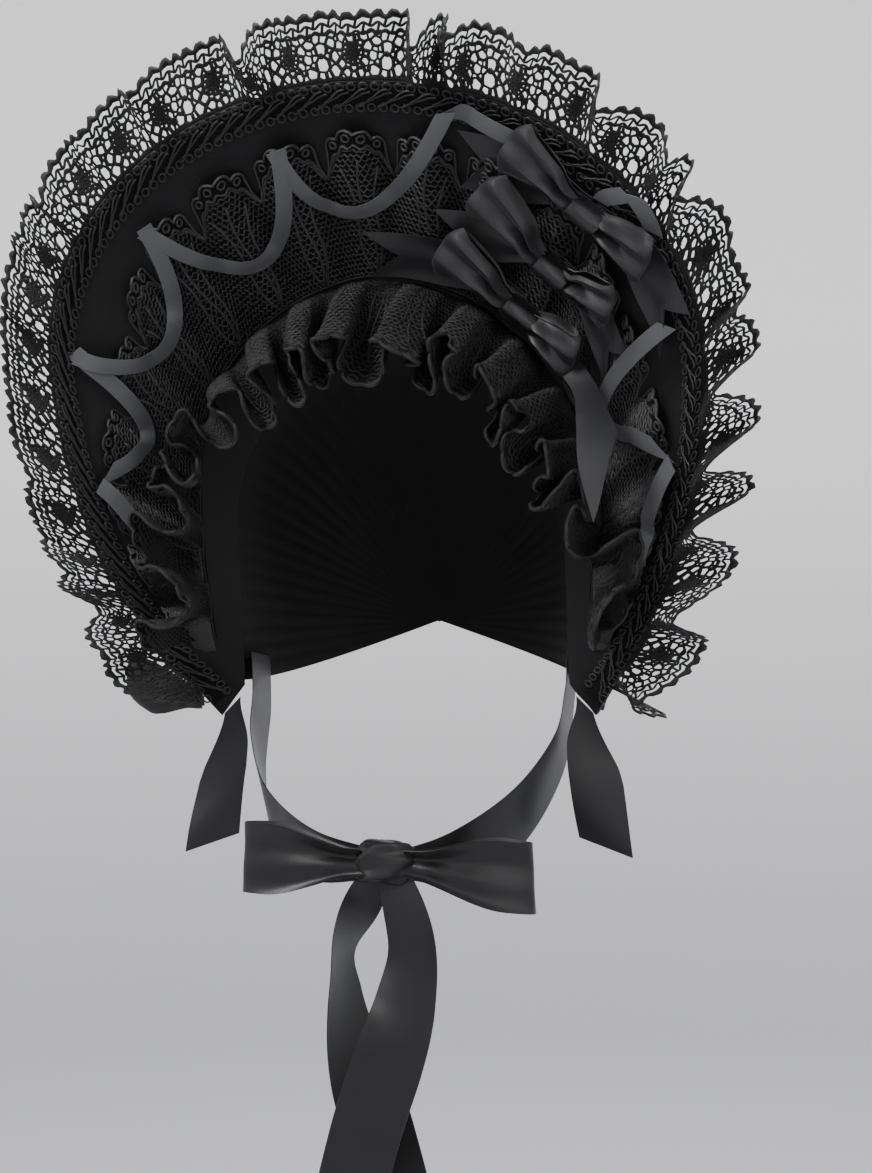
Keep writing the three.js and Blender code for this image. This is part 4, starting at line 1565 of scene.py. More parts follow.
@dataclass
class Swags:
    """The narrow ribbon laid to and fro: each swag hangs between two folds near the rim."""

    width: float = 0.0092
    wall: float = 0.0005
    columns: int = 60
    clear: float = 0.0008
    soften: int = 8

    # places are on the brim; insets, depth and lifts in millimetres
    ROWS = (
        # from_t, inset, to_t, inset, depth, deepest t, lift, end lift, rise, turn of the ribbon
        (-0.694, 15, -0.738, 43, 30, -0.714, 2.6, 5.0, 2, 0.0),
        (-0.690, 14, -0.543, 13, 69, -0.571, 3.2, 2.6, 2, -0.32),
        (-0.548, 14, -0.312, 23, 75, -0.402, 3.2, 2.8, 2, -0.32),
        (-0.318, 24, -0.094, 24, 84, -0.185, 3.6, 2.8, 2, -0.32),
        (-0.100, 25, 0.128, 3, 71, -0.004, 3.6, 7.2, 2, -0.32),
        (0.118, 4, 0.270, 12, 8, 0.194, 6.4, 6.4, 1, 0.0),
        (0.342, 15, 0.374, -5, 4, 0.358, 8.0, 8.6, 2, 0.0),
        (0.372, -6, 0.434, 2, -4, 0.402, 9.4, 6.6, 2, 0.0),
        (0.529, 15, 0.684, 11, 88, 0.530, 3.4, 3.2, 2, -0.25),
        (0.686, 12, 0.800, 14, 24, 0.744, 2.6, 3.0, 3, 0.0),
    )
    NODES = (("swag_1",), ("swag_2",), ("swag_3",), ("swag_4",), ("swag_5",), ("swag_6",),
             ("swag_7",), (), ("swag_8",), ("swag_9",))

    def build(self, room: Workroom, brim: Brim, frills: InnerFrills) -> None:
        """Makes every swag.

        Args:
            room: The workroom.
            brim: The brim they lie on.
            frills: The frills that they pass over.
        """
        for k, (row, nodes) in enumerate(zip(self.ROWS, self.NODES)):
            self._swag(room, brim, frills, f"zigzag_ribbon_{k + 1}", row, nodes)

    def _swag(self, room: Workroom, brim: Brim, frills: InnerFrills, name: str, row: tuple,
              nodes: tuple) -> None:
        """Makes one swag on a cubic curve whose middle reaches the row's depth.

        Args:
            room: The workroom.
            brim: The brim.
            frills: The frills that it passes over.
            name: Name of the piece.
            row: Its row of the table.
            nodes: CAD nodes that it replaces.
        """
        from_t, from_in, to_t, to_in, depth, deepest, lift, end_lift, rise, turn = row
        low = (8 * depth - from_in - to_in) / 6
        span = to_t - from_t
        drift = (deepest - (from_t + to_t) / 2) * 4 / 3
        knots = np.array([(from_t, from_in), (from_t + span * 0.22 + drift, low),
                          (to_t - span * 0.22 + drift, low), (to_t, to_in)])

        def course(u: Array) -> Array:
            """Place and inset on the brim."""
            s = column(np.clip(u, 0, 1))
            return ((1 - s)**3 * knots[0] + 3 * (1 - s)**2 * s * knots[1]
                    + 3 * (1 - s) * s**2 * knots[2] + s**3 * knots[3])

        steps = np.linspace(0, 1, 121)
        path = course(steps)
        below = np.max([frills.height(brim, path[:, 0] + shift, path[:, 1] * MM + away)
                        for shift in (-0.006, 0.0, 0.006)
                        for away in (-0.004, 0.0, 0.004)], axis=0)
        laid = (mix(lift, end_lift, steps) + rise * np.sin(math.pi * steps)**0.7) * MM
        near = self.soften
        wide = np.max([np.roll(np.pad(below, near, "edge"), k)[near:-near]
                       for k in range(1 - near, near)], axis=0)
        taut = np.maximum(laid, wide + self.clear)
        window = np.hanning(2 * near + 1)
        soft = np.convolve(np.pad(taut, near, "edge"), window / window.sum(), "valid")

        def place(u: Array) -> tuple[Array, Array]:
            """The ribbon's middle, raised over the lace."""
            flat = course(u)
            raised = np.interp(u, steps, soft)
            return brim.on(flat[..., 0], flat[..., 1] * MM, raised), flat

        def line(u: Array) -> tuple[Array, Array, Array]:
            """The ribbon's line."""
            middle, flat = place(u)
            ahead = unit(place(np.minimum(u + 0.01, 1))[0] - place(np.maximum(u - 0.01, 0))[0])
            off = brim.off(flat[..., 0], flat[..., 1] * MM)
            angle = turn * np.sin(math.pi * np.clip(u, 0, 1))
            side = unit(np.cross(ahead, off))
            side = unit(side * column(np.cos(angle)) + off * column(np.sin(angle)))
            return middle, side, np.full_like(u, self.width)

        length = float(run_along(place(np.linspace(0, 1, 80))[0])[-1])
        ribbon = ribbon_surface(line, curl=0.03)
        slopes = [self._slope(brim, line, course, at) * self.width / length for at in (0.0, 1.0)]

        def folded(u: Array, v: Array) -> Array:
            """The ribbon with its ends cut along the rim."""
            across = v - 0.5
            first = slopes[0] * across + abs(slopes[0]) / 2
            last = 1 + slopes[1] * across - abs(slopes[1]) / 2
            return ribbon(mix(first, last, u), v)

        piece = cloth_piece(name, folded, self.columns, 6, self.wall, (length, self.width))
        room.finish(piece, NARROW_SATIN, *nodes)

    def _slope(self, brim: Brim, line: Line, course: Callable, at: float) -> float:
        """How far one edge runs ahead of the other where the ribbon folds along the rim.

        Args:
            brim: The brim.
            line: Middle, side and width of the ribbon.
            course: Its place and inset on the brim.
            at: The end, 0 or 1.

        Returns:
            Length along the ribbon for each length across it.
        """
        near = np.clip(np.array([at - 0.02, at, at + 0.02]), 0.0, 1.0)
        middle, side, _ = line(near)
        ahead = unit(middle[2] - middle[0])
        outward = brim.outward(course(near)[1:2, 0])[0]
        across = float(side[1] @ outward) / float(ahead @ outward)
        return float(np.clip(-across, -1.3, 1.3))


@dataclass
class Bow:
    """One bow on the brim: a wrapped knot, two pleated loops and swallow-tailed ends."""

    name: str
    t: float
    inset: float
    tilt: float
    tail_lift: float
    left_loop: float
    right_loop: float
    ribbon: float = 0.036
    right_ribbon: float = 0.027
    root: float = 0.012
    depth: float = 0.0058
    wall: float = 0.0005
    pleat_at: Pair = (0.17, 0.42)
    knot_along: float = 0.0096
    knot_across: float = 0.0069
    knot_up: float = 0.0086
    # how far the left and the right loop turn toward the rim, in degrees
    fan: Pair = (17.0, 9.0)
    loop_cut: float = 0.125
    loop_area: float = 0.0044

    def knot_lift(self) -> float:
        """Height of the knot's middle off the brim."""
        return self.tail_lift + self.knot_up + 0.0007

    def place(self, brim: Brim, along: Array, out: Array, lift: Array) -> Array:
        """Points a distance along and outward from the knot, turned by the bow's tilt.

        Args:
            brim: The brim.
            along: Distance along the brim.
            out: Distance toward the rim.
            lift: Height off the brim.

        Returns:
            Points in space.
        """
        tilt = math.radians(self.tilt)
        turned_along = along * math.cos(tilt) - out * math.sin(tilt)
        turned_out = along * math.sin(tilt) + out * math.cos(tilt)
        step = 1e-3
        ends = brim.flat(np.array([self.t - step, self.t + step]), np.full(2, self.inset))
        scale = float(np.linalg.norm(ends[1] - ends[0])) / (2 * step)
        return brim.on(self.t + turned_along / scale, self.inset - turned_out, lift)

    def _loop(self, brim: Brim, direction: float) -> Surface:
        """Surface of a loop: out along the back, round its end and back along the front.

        Args:
            brim: The brim.
            direction: -1 for the left loop, 1 for the right.

        Returns:
            The surface.
        """
        k = 1 if direction > 0 else 0
        length = (self.left_loop, self.right_loop)[k]
        ribbon = (self.ribbon, self.right_ribbon)[k]
        pleat_at, fan = self.pleat_at[k], math.radians(self.fan[k])

        def surface(u: Array, v: Array) -> Array:
            """The loop, pleated at the knot."""
            turn = math.pi * u
            swell = np.sin(turn)**0.55
            front = -np.sign(np.cos(turn)) * np.abs(np.cos(turn))**0.7
            width = mix(self.root, ribbon, swell**1.15)
            across = v - 0.5
            corner = 0.0050 * np.abs(2 * across)**4 * smooth((swell - 0.75) * 4)
            along = direction * (self.knot_along * 0.6 - corner
                                 + length * swell * (1 + 0.10 * across * direction))
            puff = self.depth * front * mix(0.30, 1.0, np.sin(math.pi * swell * 0.72)**0.8)
            pleats = np.abs((across * 1.9 + pleat_at + 0.12 * front) % 1.0 * 2 - 1) * 2 - 1
            crease = np.sign(pleats) * np.abs(pleats)**0.8
            deep = 0.0042 * crease * smooth(swell * 4) * (1 - 0.62 * swell**2)
            wrinkle = np.sin(TURN * (2.6 * across + 1.2 * swell + pleat_at))
            deep = deep + 0.0006 * wrinkle * smooth(swell * 3) * (1 - swell**3)
            dome = -0.0050 * (2 * across)**2 * (0.4 + 0.6 * front) * swell
            rise = fan * smooth(swell * 2.5)
            out = width * across
            return self.place(brim, along * np.cos(rise) - direction * out * np.sin(rise),
                              direction * along * np.sin(rise) + out * np.cos(rise),
                              self.knot_lift() + puff + deep + dome + 0.003 * swell)

        return surface

    def _knot(self) -> Piece:
        """A short sleeve of ribbon wrapped round the middle, creased along its length.

        Returns:
            The sleeve, not yet in its place.
        """
        deselect()
        bpy.ops.mesh.primitive_cylinder_add(vertices=48, radius=1.0, depth=2.0,
                                            end_fill_type="NGON")
        knot = bpy.context.active_object
        knot.name = knot.data.name = f"{self.name}_wrap"
        bpy.ops.object.mode_set(mode="EDIT")
        bpy.ops.mesh.select_all(action="SELECT")
        bpy.ops.mesh.subdivide(number_cuts=6)
        bpy.ops.mesh.select_all(action="DESELECT")
        bpy.ops.object.mode_set(mode="OBJECT")
        return knot

    def _shape_knot(self, brim: Brim, knot: Piece) -> None:
        """Rounds the sleeve, creases it and sets it in its place.

        Args:
            brim: The brim.
            knot: The sleeve.
        """
        points = points_of(knot)
        end = points[:, 2]
        radius = np.hypot(points[:, 0], points[:, 1])
        angle = np.arctan2(points[:, 1], points[:, 0])
        crease = 1 + 0.016 * np.sin(3 * angle + 1.5 * end) + 0.012 * np.sin(7 * angle - 2 * end)
        pinch = 1 - 0.10 * np.abs(end)**4
        shell = radius * crease * pinch
        rim_wave = 0.05 * np.sin(2 * angle) + 0.03 * np.sin(3 * angle + 1)
        local = np.stack([end * self.knot_along * (1 + rim_wave * radius**2 * np.sign(end)),
                          shell * np.sin(angle) * self.knot_across,
                          shell * np.cos(angle) * self.knot_up], axis=-1)
        centre = self.place(brim, 0.0, 0.0, self.knot_lift())
        ahead = self.place(brim, 1e-3, 0.0, self.knot_lift())
        along = unit(ahead - centre)
        up = brim.off(np.asarray(self.t), np.asarray(self.inset))
        out = np.cross(up, along)
        move_points(knot, centre + local @ np.stack([along, out, up]))
        choose(knot)
        bpy.ops.object.mode_set(mode="EDIT")
        bpy.ops.mesh.select_all(action="SELECT")
        bpy.ops.mesh.normals_make_consistent(inside=False)
        bpy.ops.object.mode_set(mode="OBJECT")
        bpy.ops.object.shade_smooth_by_angle(angle=math.radians(60))

    def _tail(self, brim: Brim, along_to: float, out_to: float, tip_lift: float,
              width_to: float, flare: float) -> Surface:
        """Surface of one swallow-tailed end that lies on the brim.

        Args:
            brim: The brim.
            along_to: Where the tip is along the brim.
            out_to: Where it is toward the rim.
            tip_lift: Height of the tip.
            width_to: Width of the tip.
            flare: How far the tip bends outward.

        Returns:
            The surface.
        """
        def surface(u: Array, v: Array) -> Array:
            """The end, from the knot to its notched tip."""
            across = v - 0.5
            late = smooth((u - 0.72) / 0.28)
            reach = u * (1 - 0.20 * late * (1 - np.abs(2 * v - 1)))
            width = mix(0.010, width_to, smooth(reach * 1.7))
            along = math.copysign(0.002, along_to) * (1 - reach) + along_to * reach
            ripple = 0.0012 * np.sin(8 * reach + 5 * across) * reach
            fold = 0.0016 * np.cos(across * TURN * 1.5) * (1 - reach)
            lift = mix(self.tail_lift, tip_lift, reach) + ripple + fold
            return self.place(brim, along, out_to * reach + flare * reach**2 + width * across,
                              lift)

        return surface

    def build(self, room: Workroom, brim: Brim, tails: tuple) -> None:
        """Makes the bow.

        Args:
            room: The workroom.
            brim: The brim it is sewn to.
            tails: Rows of side, along, out, tip lift, width and flare, in millimetres.
        """
        for direction, side in ((-1.0, "left"), (1.0, "right")):
            loop = cloth_piece(f"{self.name}_bow_{side}", self._loop(brim, direction), 64, 24,
                               self.wall, (self.loop_cut, self.ribbon))
            room.finish(loop, SATIN, f"{self.name}_loop_{side}")
            min(cloth_area(loop), self.loop_area)
        knot = self._knot()
        self._shape_knot(brim, knot)
        # the knot takes the darker copy of the satin, as painted shade
        room.finish(knot, SHADED_KNOT_SATIN, f"{self.name}_knot")
        for side, along, out, lift, width, flare in tails:
            surface = self._tail(brim, along * MM, out * MM, lift * MM, width * MM, flare * MM)
            tail = cloth_piece(f"{self.name}_end_{side}", surface, 48, 12, self.wall,
                               (abs(along) * MM, width * MM))
            room.finish(tail, SATIN, f"{self.name}_tail_{side}")
            cloth_area(tail)


@dataclass
class Bows:
    """The three bows in a slanting row from the rim inward.

    The length and the width are those of the end that falls beside the face frill.
    """

    wall: float = 0.0005
    length: float = 0.132
    width: float = 0.034

    # rows of X, Y, Z and width of the falling end, in millimetres
    FALLING = ((88, -51.5, 24, 10), (97, -50, 10, 11), (108, -56, -8, 12), (120, -69, -26, 14),
               (126, -80, -44, 20), (132, -88, -66, 28), (143, -92, -93, 35))

    def build(self, room: Workroom, brim: Brim) -> None:
        """Makes the bows.

        Args:
            room: The workroom.
            brim: The brim they are sewn to.
        """
        first = Bow("bow_1", 0.335, 0.021, 5, 0.0065, 0.048, 0.043, pleat_at=(0.20, 0.42))
        first.build(room, brim, (("left", -80, -6, 9, 33, 0), ("right", 88, 0, 11, 30, 0)))
        second = Bow("bow_2", 0.32, 0.061, 5, 0.0085, 0.050, 0.042, pleat_at=(0.34, 0.08),
                     right_ribbon=0.024, fan=(26.0, 16.0))
        second.build(room, brim, (("left", -78, -12, 11, 28, 0), ("right", 66, -12, 10, 26, 0)))
        third = Bow("bow_3", 0.29, 0.097, 2, 0.0085, 0.050, 0.041, depth=0.0068,
                    pleat_at=(0.26, 0.55), right_ribbon=0.026, fan=(18.0, 10.0))
        third.build(room, brim, (("left", -98, 4, 12, 28, 0),))
        self._falling_end(room)

    def _falling_end(self, room: Workroom) -> None:
        """The lowest bow's right end, which falls beside the face frill.

        Args:
            room: The workroom.
        """
        rows = np.array(self.FALLING) * MM
        facing = unit(np.array([0.32, -0.94, 0.02]))
        start = unit(np.array([-0.29, -0.80, -0.53]))

        def line(u: Array) -> tuple[Array, Array, Array]:
            """The end's line."""
            here = spline(rows, u)
            ahead = spline_ahead(rows, u)
            face = unit(mix(start, facing, column(np.minimum(2 * u, 1))))
            return here[..., :3], unit(np.cross(ahead, face)), here[..., 3]

        piece = cloth_piece("bow_3_end_right", ribbon_surface(line, 0.04, 0.28, 0.55), 60, 12,
                            self.wall, (self.length, self.width))
        room.finish(piece, SATIN, "bow_3_tail_right")
        area = min(cloth_area(piece), self.width * self.length)


# ---------- chin ribbon
@dataclass
class ChinRibbon:
    """Ties inside the cap, the bow under the chin and its two crossing ends."""

    ribbon: float = 0.038
    wall: float = 0.0005
    root: float = 0.014
    knot_at: Triple = (0.011, -0.082, -0.279)
    knot_half: Triple = (0.0160, 0.0092, 0.0120)
    loop_depth: float = 0.009
    loop_cut: float = 0.14
    loop_area: float = 0.0053

    # X, Y, Z, turn in degrees from level to upright, width; the left side mirrors X
    TIE = ((95.4, 40, -166, 0, 38), (94, 37, -194, 8, 38), (90, 14, -226, 38, 38),
           (72, -28, -258, 62, 38), (42, -62, -277, 80, 30), (8, -74.3, -281, 90, 16))
    # X, Y, Z, turn in degrees away from the front, width
    END_LEFT = ((5, -80.5, -287, 5, 16), (-13, -80, -324, 80, 35), (-14, -78, -352, 76, 38),
                (-10, -75, -380, 56, 38), (1, -72, -414, 20, 38), (14, -72, -456, 0, 38))
    END_RIGHT = ((17, -84.5, -287, -5, 18), (28, -91, -322, -30, 34), (25, -94, -352, -20, 38),
                 (16, -96, -382, 0, 38), (4, -94, -416, 5, 38), (-7, -93, -456, 0, 38))
    # the ties drift sideways to the knot by this power of how far down they are
    TIE_DRIFT = 3
    # hand, name and length of each loop, Y and Z of its end
    LOOPS = ((-1.0, "left", 0.067, (-0.084, -0.2765)), (1.0, "right", 0.067, (-0.066, -0.288)))

    def _route(self, rows: Array, upright: bool) -> Line:
        """Line of a ribbon through a table's rows.

        Args:
            rows: X, Y, Z, turn and width, in millimetres and degrees.
            upright: Whether the turn raises the side or swings it to the back.

        Returns:
            Function of the share of the length.
        """
        def line(u: Array) -> tuple[Array, Array, Array]:
            """The ribbon's line."""
            here = spline(rows, u)
            ahead = spline_ahead(rows, u)
            turn = np.radians(here[..., 3])
            zero = np.zeros_like(turn)
            level = (np.stack([zero, np.cos(turn), -np.sin(turn)], axis=-1) if upright
                     else np.stack([np.cos(turn), np.sin(turn), zero], axis=-1))
            side = unit(level - ahead * np.sum(level * ahead, axis=-1, keepdims=True))
            return here[..., :3] * MM, side, here[..., 4] * MM

        return line

    def _strip(self, room: Workroom, name: str, node: str, line: Line,
               curl: float) -> None:
        """Makes one ribbon along a line.

        Args:
            room: The workroom.
            name: Name of the piece.
            node: CAD node that it replaces.
            line: The ribbon's line.
            curl: How much its edges lift.
        """
        length = float(run_along(line(np.linspace(0, 1, 120))[0])[-1])
        piece = cloth_piece(name, ribbon_surface(line, curl=curl), 72, 12, self.wall,
                            (length, self.ribbon))
        # the darker satin of the chin ribbon is painted shade
        room.finish(piece, SHADED_CHIN_SATIN, node)
        area = min(cloth_area(piece), self.ribbon * length)

    def _loop(self, hand: float, length: float, end: Pair) -> Surface:
        """Surface of one loop of the chin bow.

        Args:
            hand: -1 for the left, 1 for the right.
            length: Length of the loop.
            end: Y and Z of its end.

        Returns:
            The surface.
        """
        def surface(u: Array, v: Array) -> Array:
            """The loop, pleated at the knot."""
            turn = math.pi * u
            swell = np.sin(turn)**0.6
            across = v - 0.5
            width = mix(self.root, self.ribbon, smooth(swell * 1.25))
            front = np.sign(np.cos(turn)) * np.abs(np.cos(turn))**0.7
            depth = self.loop_depth * front * mix(0.35, 1.0, np.sin(math.pi * swell * 0.7))
            fan = np.sin((across * 1.6 + 0.1 * front) * TURN)
            pleat = 0.0024 * fan * (1 - 0.75 * smooth(swell)) * smooth(swell * 6)
            x = self.knot_at[0] + hand * (self.knot_half[0] * 0.7 + length * swell
                                          - 0.0015 * swell * across)
            cup = 0.004 * (2 * across)**2 * front
            y = mix(self.knot_at[1], end[0], swell) + depth + pleat + cup
            z = mix(self.knot_at[2], end[1], swell) + width * across
            return np.stack([x, y, z], axis=-1)

        return surface

    def _knot(self) -> Piece:
        """The knot: a ribbon drawn tight round the middle, with soft creases.

        Returns:
            The knot.
        """
        deselect()
        bpy.ops.mesh.primitive_uv_sphere_add(segments=48, ring_count=32, radius=1.0)
        knot = bpy.context.active_object
        knot.name = knot.data.name = "chin_wrap"
        p = points_of(knot)
        square = np.sign(p) * np.abs(p)**0.72
        angle = np.arctan2(p[:, 2], p[:, 1])
        fold = 1 - 2 * np.abs(np.sin(2.5 * angle + 2.2 * p[:, 0] + 0.4))
        crease = 1 + 0.10 * fold + 0.03 * np.sin(9 * angle - p[:, 0])
        half = np.array(self.knot_half)
        move_points(knot, square * column(crease) * half + np.array(self.knot_at))
        choose(knot)
        bpy.ops.object.shade_smooth()
        return knot

    def build(self, room: Workroom) -> None:
        """Makes the ties, the bow and its ends.

        Args:
            room: The workroom.
        """
        share = (np.arange(len(self.TIE)) / (len(self.TIE) - 1))**self.TIE_DRIFT
        for hand, side in ((-1.0, "left"), (1.0, "right")):
            rows = np.array(self.TIE, float)
            rows[:, 0] = hand * rows[:, 0] + self.knot_at[0] / MM * share
            self._strip(room, f"chin_tie_{side}", f"tie_{side}", self._route(rows, True),
                        0.0)
        for hand, side, length, end in self.LOOPS:
            loop = cloth_piece(f"chin_bow_{side}", self._loop(hand, length, end), 64, 24, self.wall,
                               (self.loop_cut, self.ribbon))
            room.finish(loop, SHADED_CHIN_SATIN, f"chin_loop_{side}")
            min(cloth_area(loop), self.loop_area)
        room.finish(self._knot(), SHADED_CHIN_SATIN, "chin_knot")
        for rows, side in ((self.END_LEFT, "left"), (self.END_RIGHT, "right")):
            self._strip(room, f"chin_end_{side}", f"chin_tail_{side}",
                        self._route(np.array(rows, float), False), 0.05)


@dataclass
class SideRibbons:
    """A folded loop and a hanging end at each end of the brim."""

    t: float = 0.97
    width: float = 0.033
    depth: float = 0.005
    level: float = -0.183
    end_inset: float = 0.011
    end_length: float = 0.082
    end_width: float = 0.034
    behind: float = 0.004
    end_area: float = 0.00275
    loop_cut: float = 0.08
    loop_area: float = 0.0026
    wall: float = 0.0005

    # hand, name, inset and length of the loop, and how far it swings to the back in degrees
    SIDES = ((-1.0, "left", -0.003, 0.050, 5.0), (1.0, "right", 0.009, 0.034, 92.0))

    def build(self, room: Workroom, brim: Brim) -> None:
        """Makes both loops and both ends.

        Args:
            room: The workroom.
            brim: The brim they are sewn to.
        """
        for hand, side, inset, length, swing in self.SIDES:
            root = brim.on(hand * self.t, inset, -self.behind)
            turn = math.radians(swing)
            out = np.array([hand * math.cos(turn), math.sin(turn), 0.0])
            aside = np.array([-hand * math.sin(turn), math.cos(turn), 0.0])

            def loop(u: Array, v: Array, root: Array = root, out: Array = out,
                     aside: Array = aside, length: float = length) -> Array:
                """The loop, folded at its far end."""
                across = v - 0.5
                swell = np.sin(math.pi * u)**0.75
                width = mix(0.012, self.width, smooth(swell * 1.2))
                corner = 0.011 * np.clip(-2 * across, 0, 1)**2 + 0.003 * (2 * across)**4
                depth = self.depth * np.cos(math.pi * u) * mix(0.4, 1.0, swell)
                pleat = 0.0018 * np.cos(3 * math.pi * across) * (1 - swell**2)
                flat = root + out * column(swell * (length - corner * swell))
                flat = flat + aside * column(depth + pleat + 0.003 * swell)
                rise = (self.level - root[2]) * swell + width * across
                return flat + np.array([0.0, 0.0, 1.0]) * column(rise)

            piece = cloth_piece(f"side_fold_{side}", loop, 40, 10, self.wall,
                                (self.loop_cut, self.width))
            # the side ribbons take the darker satin, as painted shade
            room.finish(piece, SHADED_CHIN_SATIN, f"side_loop_{side}")
            min(cloth_area(piece), self.loop_area)
            start = brim.on(hand, self.end_inset, 0.0)

            def line(u: Array, hand: float = hand, start: Array = start) -> tuple:
                """The hanging end's line."""
                middle = start + np.stack([hand * 0.012 * u, -0.002 * u + 0.002 * np.sin(6 * u),
                                           -0.0026 - self.end_length * u], axis=-1)
                slant = mix(1.0, 0.35, np.minimum(1.0, 2 * u))
                side_way = unit(np.stack([np.full_like(u, hand), 0.25 * np.sin(4 * u), -slant],
                                         axis=-1))
                return middle, side_way, mix(0.014, self.end_width, smooth(2.5 * u))

            piece = cloth_piece(f"side_end_{side}", ribbon_surface(line), 40, 10, self.wall,
                                (self.end_length, self.end_width))
            room.finish(piece, SHADED_CHIN_SATIN, f"side_tail_{side}")
            min(cloth_area(piece), self.end_area)


# ---------- cap
@dataclass
class Crown:
    """The soft cap behind the brim, gathered toward the nape."""

    back_y: float = 0.114
    nape_z: float = -0.145
    inset: float = 0.005
    set_back: float = 0.0027
    fullness: float = 0.8
    reach: float = 0.98
    wall: float = 0.0015
    gathers: int = 44
    cloth: Pair = (0.45, 0.2)
    most_area: float = 0.089

    def build(self, room: Workroom, brim: Brim) -> None:
        """Makes the cap.

        Args:
            room: The workroom.
            brim: The brim it is sewn to.
        """
        pole = np.array([0.0, self.back_y, self.nape_z])

        def surface(u: Array, v: Array) -> Array:
            """The cap from the brim, v = 0, to the nape."""
            t = mix(-self.reach, self.reach, u)
            edge = brim.on(t, brim.depth(t) - self.inset, -self.set_back)
            centre = np.stack([np.zeros_like(t), edge[..., 1], np.full_like(t, self.nape_z)], -1)
            turn = math.pi / 2 * v
            out = np.maximum(0.0, np.cos(turn))**self.fullness
            aft = np.sin(turn)**self.fullness
            gather = np.sin(self.gathers * math.pi * u + 2.5 * np.sin(5 * u))
            depth = gather * (0.0011 * np.sin(math.pi * v)**0.6 + 0.0009 * smooth(v * 3 - 2))
            pull = unit(edge - centre)
            return (centre + (edge - centre) * column(out) + (pole - centre) * column(aft)
                    - pull * column(np.abs(depth)))

        piece = cloth_piece("crown_cap", surface, 264, 48, self.wall, self.cloth)
        room.finish(piece, CAP_CLOTH, "crown")
        min(cloth_area(piece), self.most_area)


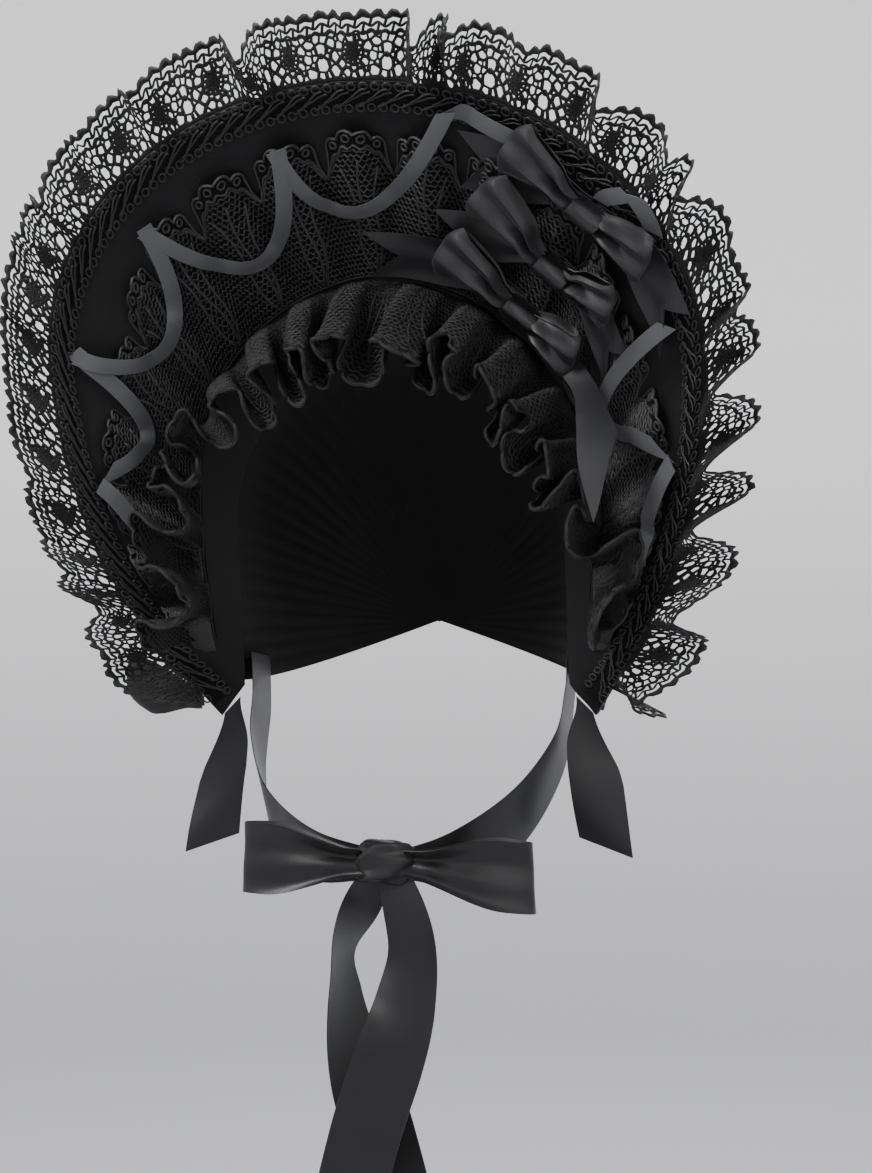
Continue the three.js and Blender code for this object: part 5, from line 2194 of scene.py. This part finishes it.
# ---------- studio
@dataclass
class Studio:
    """Pale floor and backdrop with painted shade and glow, soft light and the camera."""

    aim: Triple = (0.0350, -0.060, -0.1298)
    azimuth: float = 12.0
    elevation: float = -2.0
    roll: float = -0.3
    distance: float = 1.150
    lens: float = 64.27
    floor_z: float = -0.80
    floor_reach: float = 2.3
    bend: float = 0.9
    wall: float = 1.5
    # how strongly the paper glows by its own emission: painted light
    painted_glow: float = 0.22
    sky: float = 0.45
    lamps_aim: Triple = (0.0, -0.03, -0.12)

    # name, place, side and watts
    LAMPS = (
        ("key_light", (-0.8, -1.3, 1.25), 0.7, 42.0),
        ("fill_light", (1.5, -1.5, 0.2), 1.2, 9.0),
        ("paper_light", (0.5, 0.5, 2.4), 1.6, 95.0),
    )

    def camera(self) -> None:
        """Sets the camera at its place, aimed at the bonnet."""
        azimuth, elevation = math.radians(self.azimuth), math.radians(self.elevation)
        back = Vector((math.sin(azimuth) * math.cos(elevation),
                       -math.cos(azimuth) * math.cos(elevation), math.sin(elevation)))
        data = bpy.data.cameras.new("camera")
        data.lens = self.lens
        data.sensor_width = 36.0
        data.sensor_fit = "AUTO"
        data.clip_start, data.clip_end = 0.02, 30.0
        camera = bpy.data.objects.new("camera", data)
        camera.location = Vector(self.aim) + back * self.distance
        aimed = (-back).to_track_quat("-Z", "Y").to_matrix()
        rolled = aimed @ Matrix.Rotation(math.radians(self.roll), 3, "Z")
        camera.rotation_euler = rolled.to_euler()
        bpy.context.collection.objects.link(camera)
        bpy.context.scene.camera = camera

    def lamp(self, name: str, place: Triple, size: float,
             power: float) -> None:
        """Adds a square soft light.

        Args:
            name: Name of the light.
            place: Where it stands; it faces the bonnet.
            size: Side of the light.
            power: Watts.
        """
        data = bpy.data.lights.new(name, "AREA")
        data.shape = "SQUARE"
        data.size = size
        data.energy = power
        lamp = bpy.data.objects.new(name, data)
        lamp.visible_camera = False
        lamp.location = place
        toward = Vector(self.lamps_aim) - Vector(place)
        lamp.rotation_euler = toward.to_track_quat("-Z", "Y").to_euler()
        bpy.context.collection.objects.link(lamp)

    def floor(self) -> Piece:
        """Pale floor that curves up to a round backdrop.

        Returns:
            The floor and backdrop, in one piece.
        """
        deselect()
        bpy.ops.mesh.primitive_circle_add(vertices=96, radius=self.floor_reach, fill_type="NGON",
                                          location=(0.0, 0.0, self.floor_z))
        floor = bpy.context.active_object
        floor.name = floor.data.name = "pale_floor"
        bpy.ops.object.mode_set(mode="EDIT")
        bpy.ops.mesh.select_mode(type="EDGE")
        bpy.ops.mesh.select_all(action="DESELECT")
        bpy.ops.mesh.select_non_manifold()
        steps = 12
        turns = [math.pi / 2 * k / steps for k in range(steps + 1)]
        profile = [(self.floor_reach + self.bend * math.sin(a), self.bend * (1 - math.cos(a)))
                   for a in turns] + [(self.floor_reach + self.bend, self.bend + self.wall)]
        for (near, low), (far, high) in zip(profile, profile[1:]):
            bpy.ops.mesh.extrude_edges_move(TRANSFORM_OT_translate={"value": (0, 0, high - low)})
            bpy.ops.transform.resize(value=(far / near, far / near, 1.0),
                                     center_override=(0.0, 0.0, 0.0))
        bpy.ops.object.mode_set(mode="OBJECT")
        bpy.ops.object.transform_apply(location=True, rotation=True, scale=True)
        bpy.ops.object.shade_smooth_by_angle(angle=math.radians(40))
        return floor

    def build(self) -> None:
        """Makes the floor, the backdrop with its painted shade and glow, and the lights."""
        floor = self.floor()
        dye = Dye("pale_paper_painted_light")
        place = dye.node("ShaderNodeTexCoord", output="Object")
        height = dye.node("ShaderNodeSeparateXYZ", None, {0: place}, 2)
        # painted shade: the paper is darker toward the floor; painted light: it glows by its own
        # emission, which is also weaker toward the floor
        share = dye.node("ShaderNodeMapRange", {"interpolation_type": "SMOOTHSTEP"},
                         {"Value": height, 1: self.floor_z - 0.1, 2: 0.55})
        dye.set(Base_Color=dye.tint(grey(0.40, 0.41), grey(0.80, 0.81), share), Roughness=0.9,
                Emission_Color=dye.tint(grey(0.45, 0.47), grey(1.15, 1.16), share),
                Emission_Strength=self.painted_glow)
        floor.data.materials.clear()
        floor.data.materials.append(dye.material)
        self.camera()
        for lamp in self.LAMPS:
            self.lamp(*lamp)
        world = bpy.data.worlds.new("studio")
        world.use_nodes = True
        world.node_tree.nodes["Background"].inputs[0].default_value = (0.93, 0.95, 1.0, 1.0)
        world.node_tree.nodes["Background"].inputs[1].default_value = self.sky
        bpy.context.scene.world = world


def main() -> None:
    """Builds the bonnet piece by piece, and writes how large it came out."""
    logging.basicConfig(level=logging.INFO, format="%(name)s: %(message)s")
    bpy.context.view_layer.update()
    Studio().build()
    room, brim = Workroom(), Brim()
    brim.build(room)
    Crown().build(room, brim)
    EdgeLace().build(room, brim)
    frills = InnerFrills()
    frills.build(room, brim)
    Braid().build(room, brim)
    Swags().build(room, brim, frills)
    Bows().build(room, brim)
    ChinRibbon().build(room)
    SideRibbons().build(room, brim)


if __name__ == "__main__":
    main()
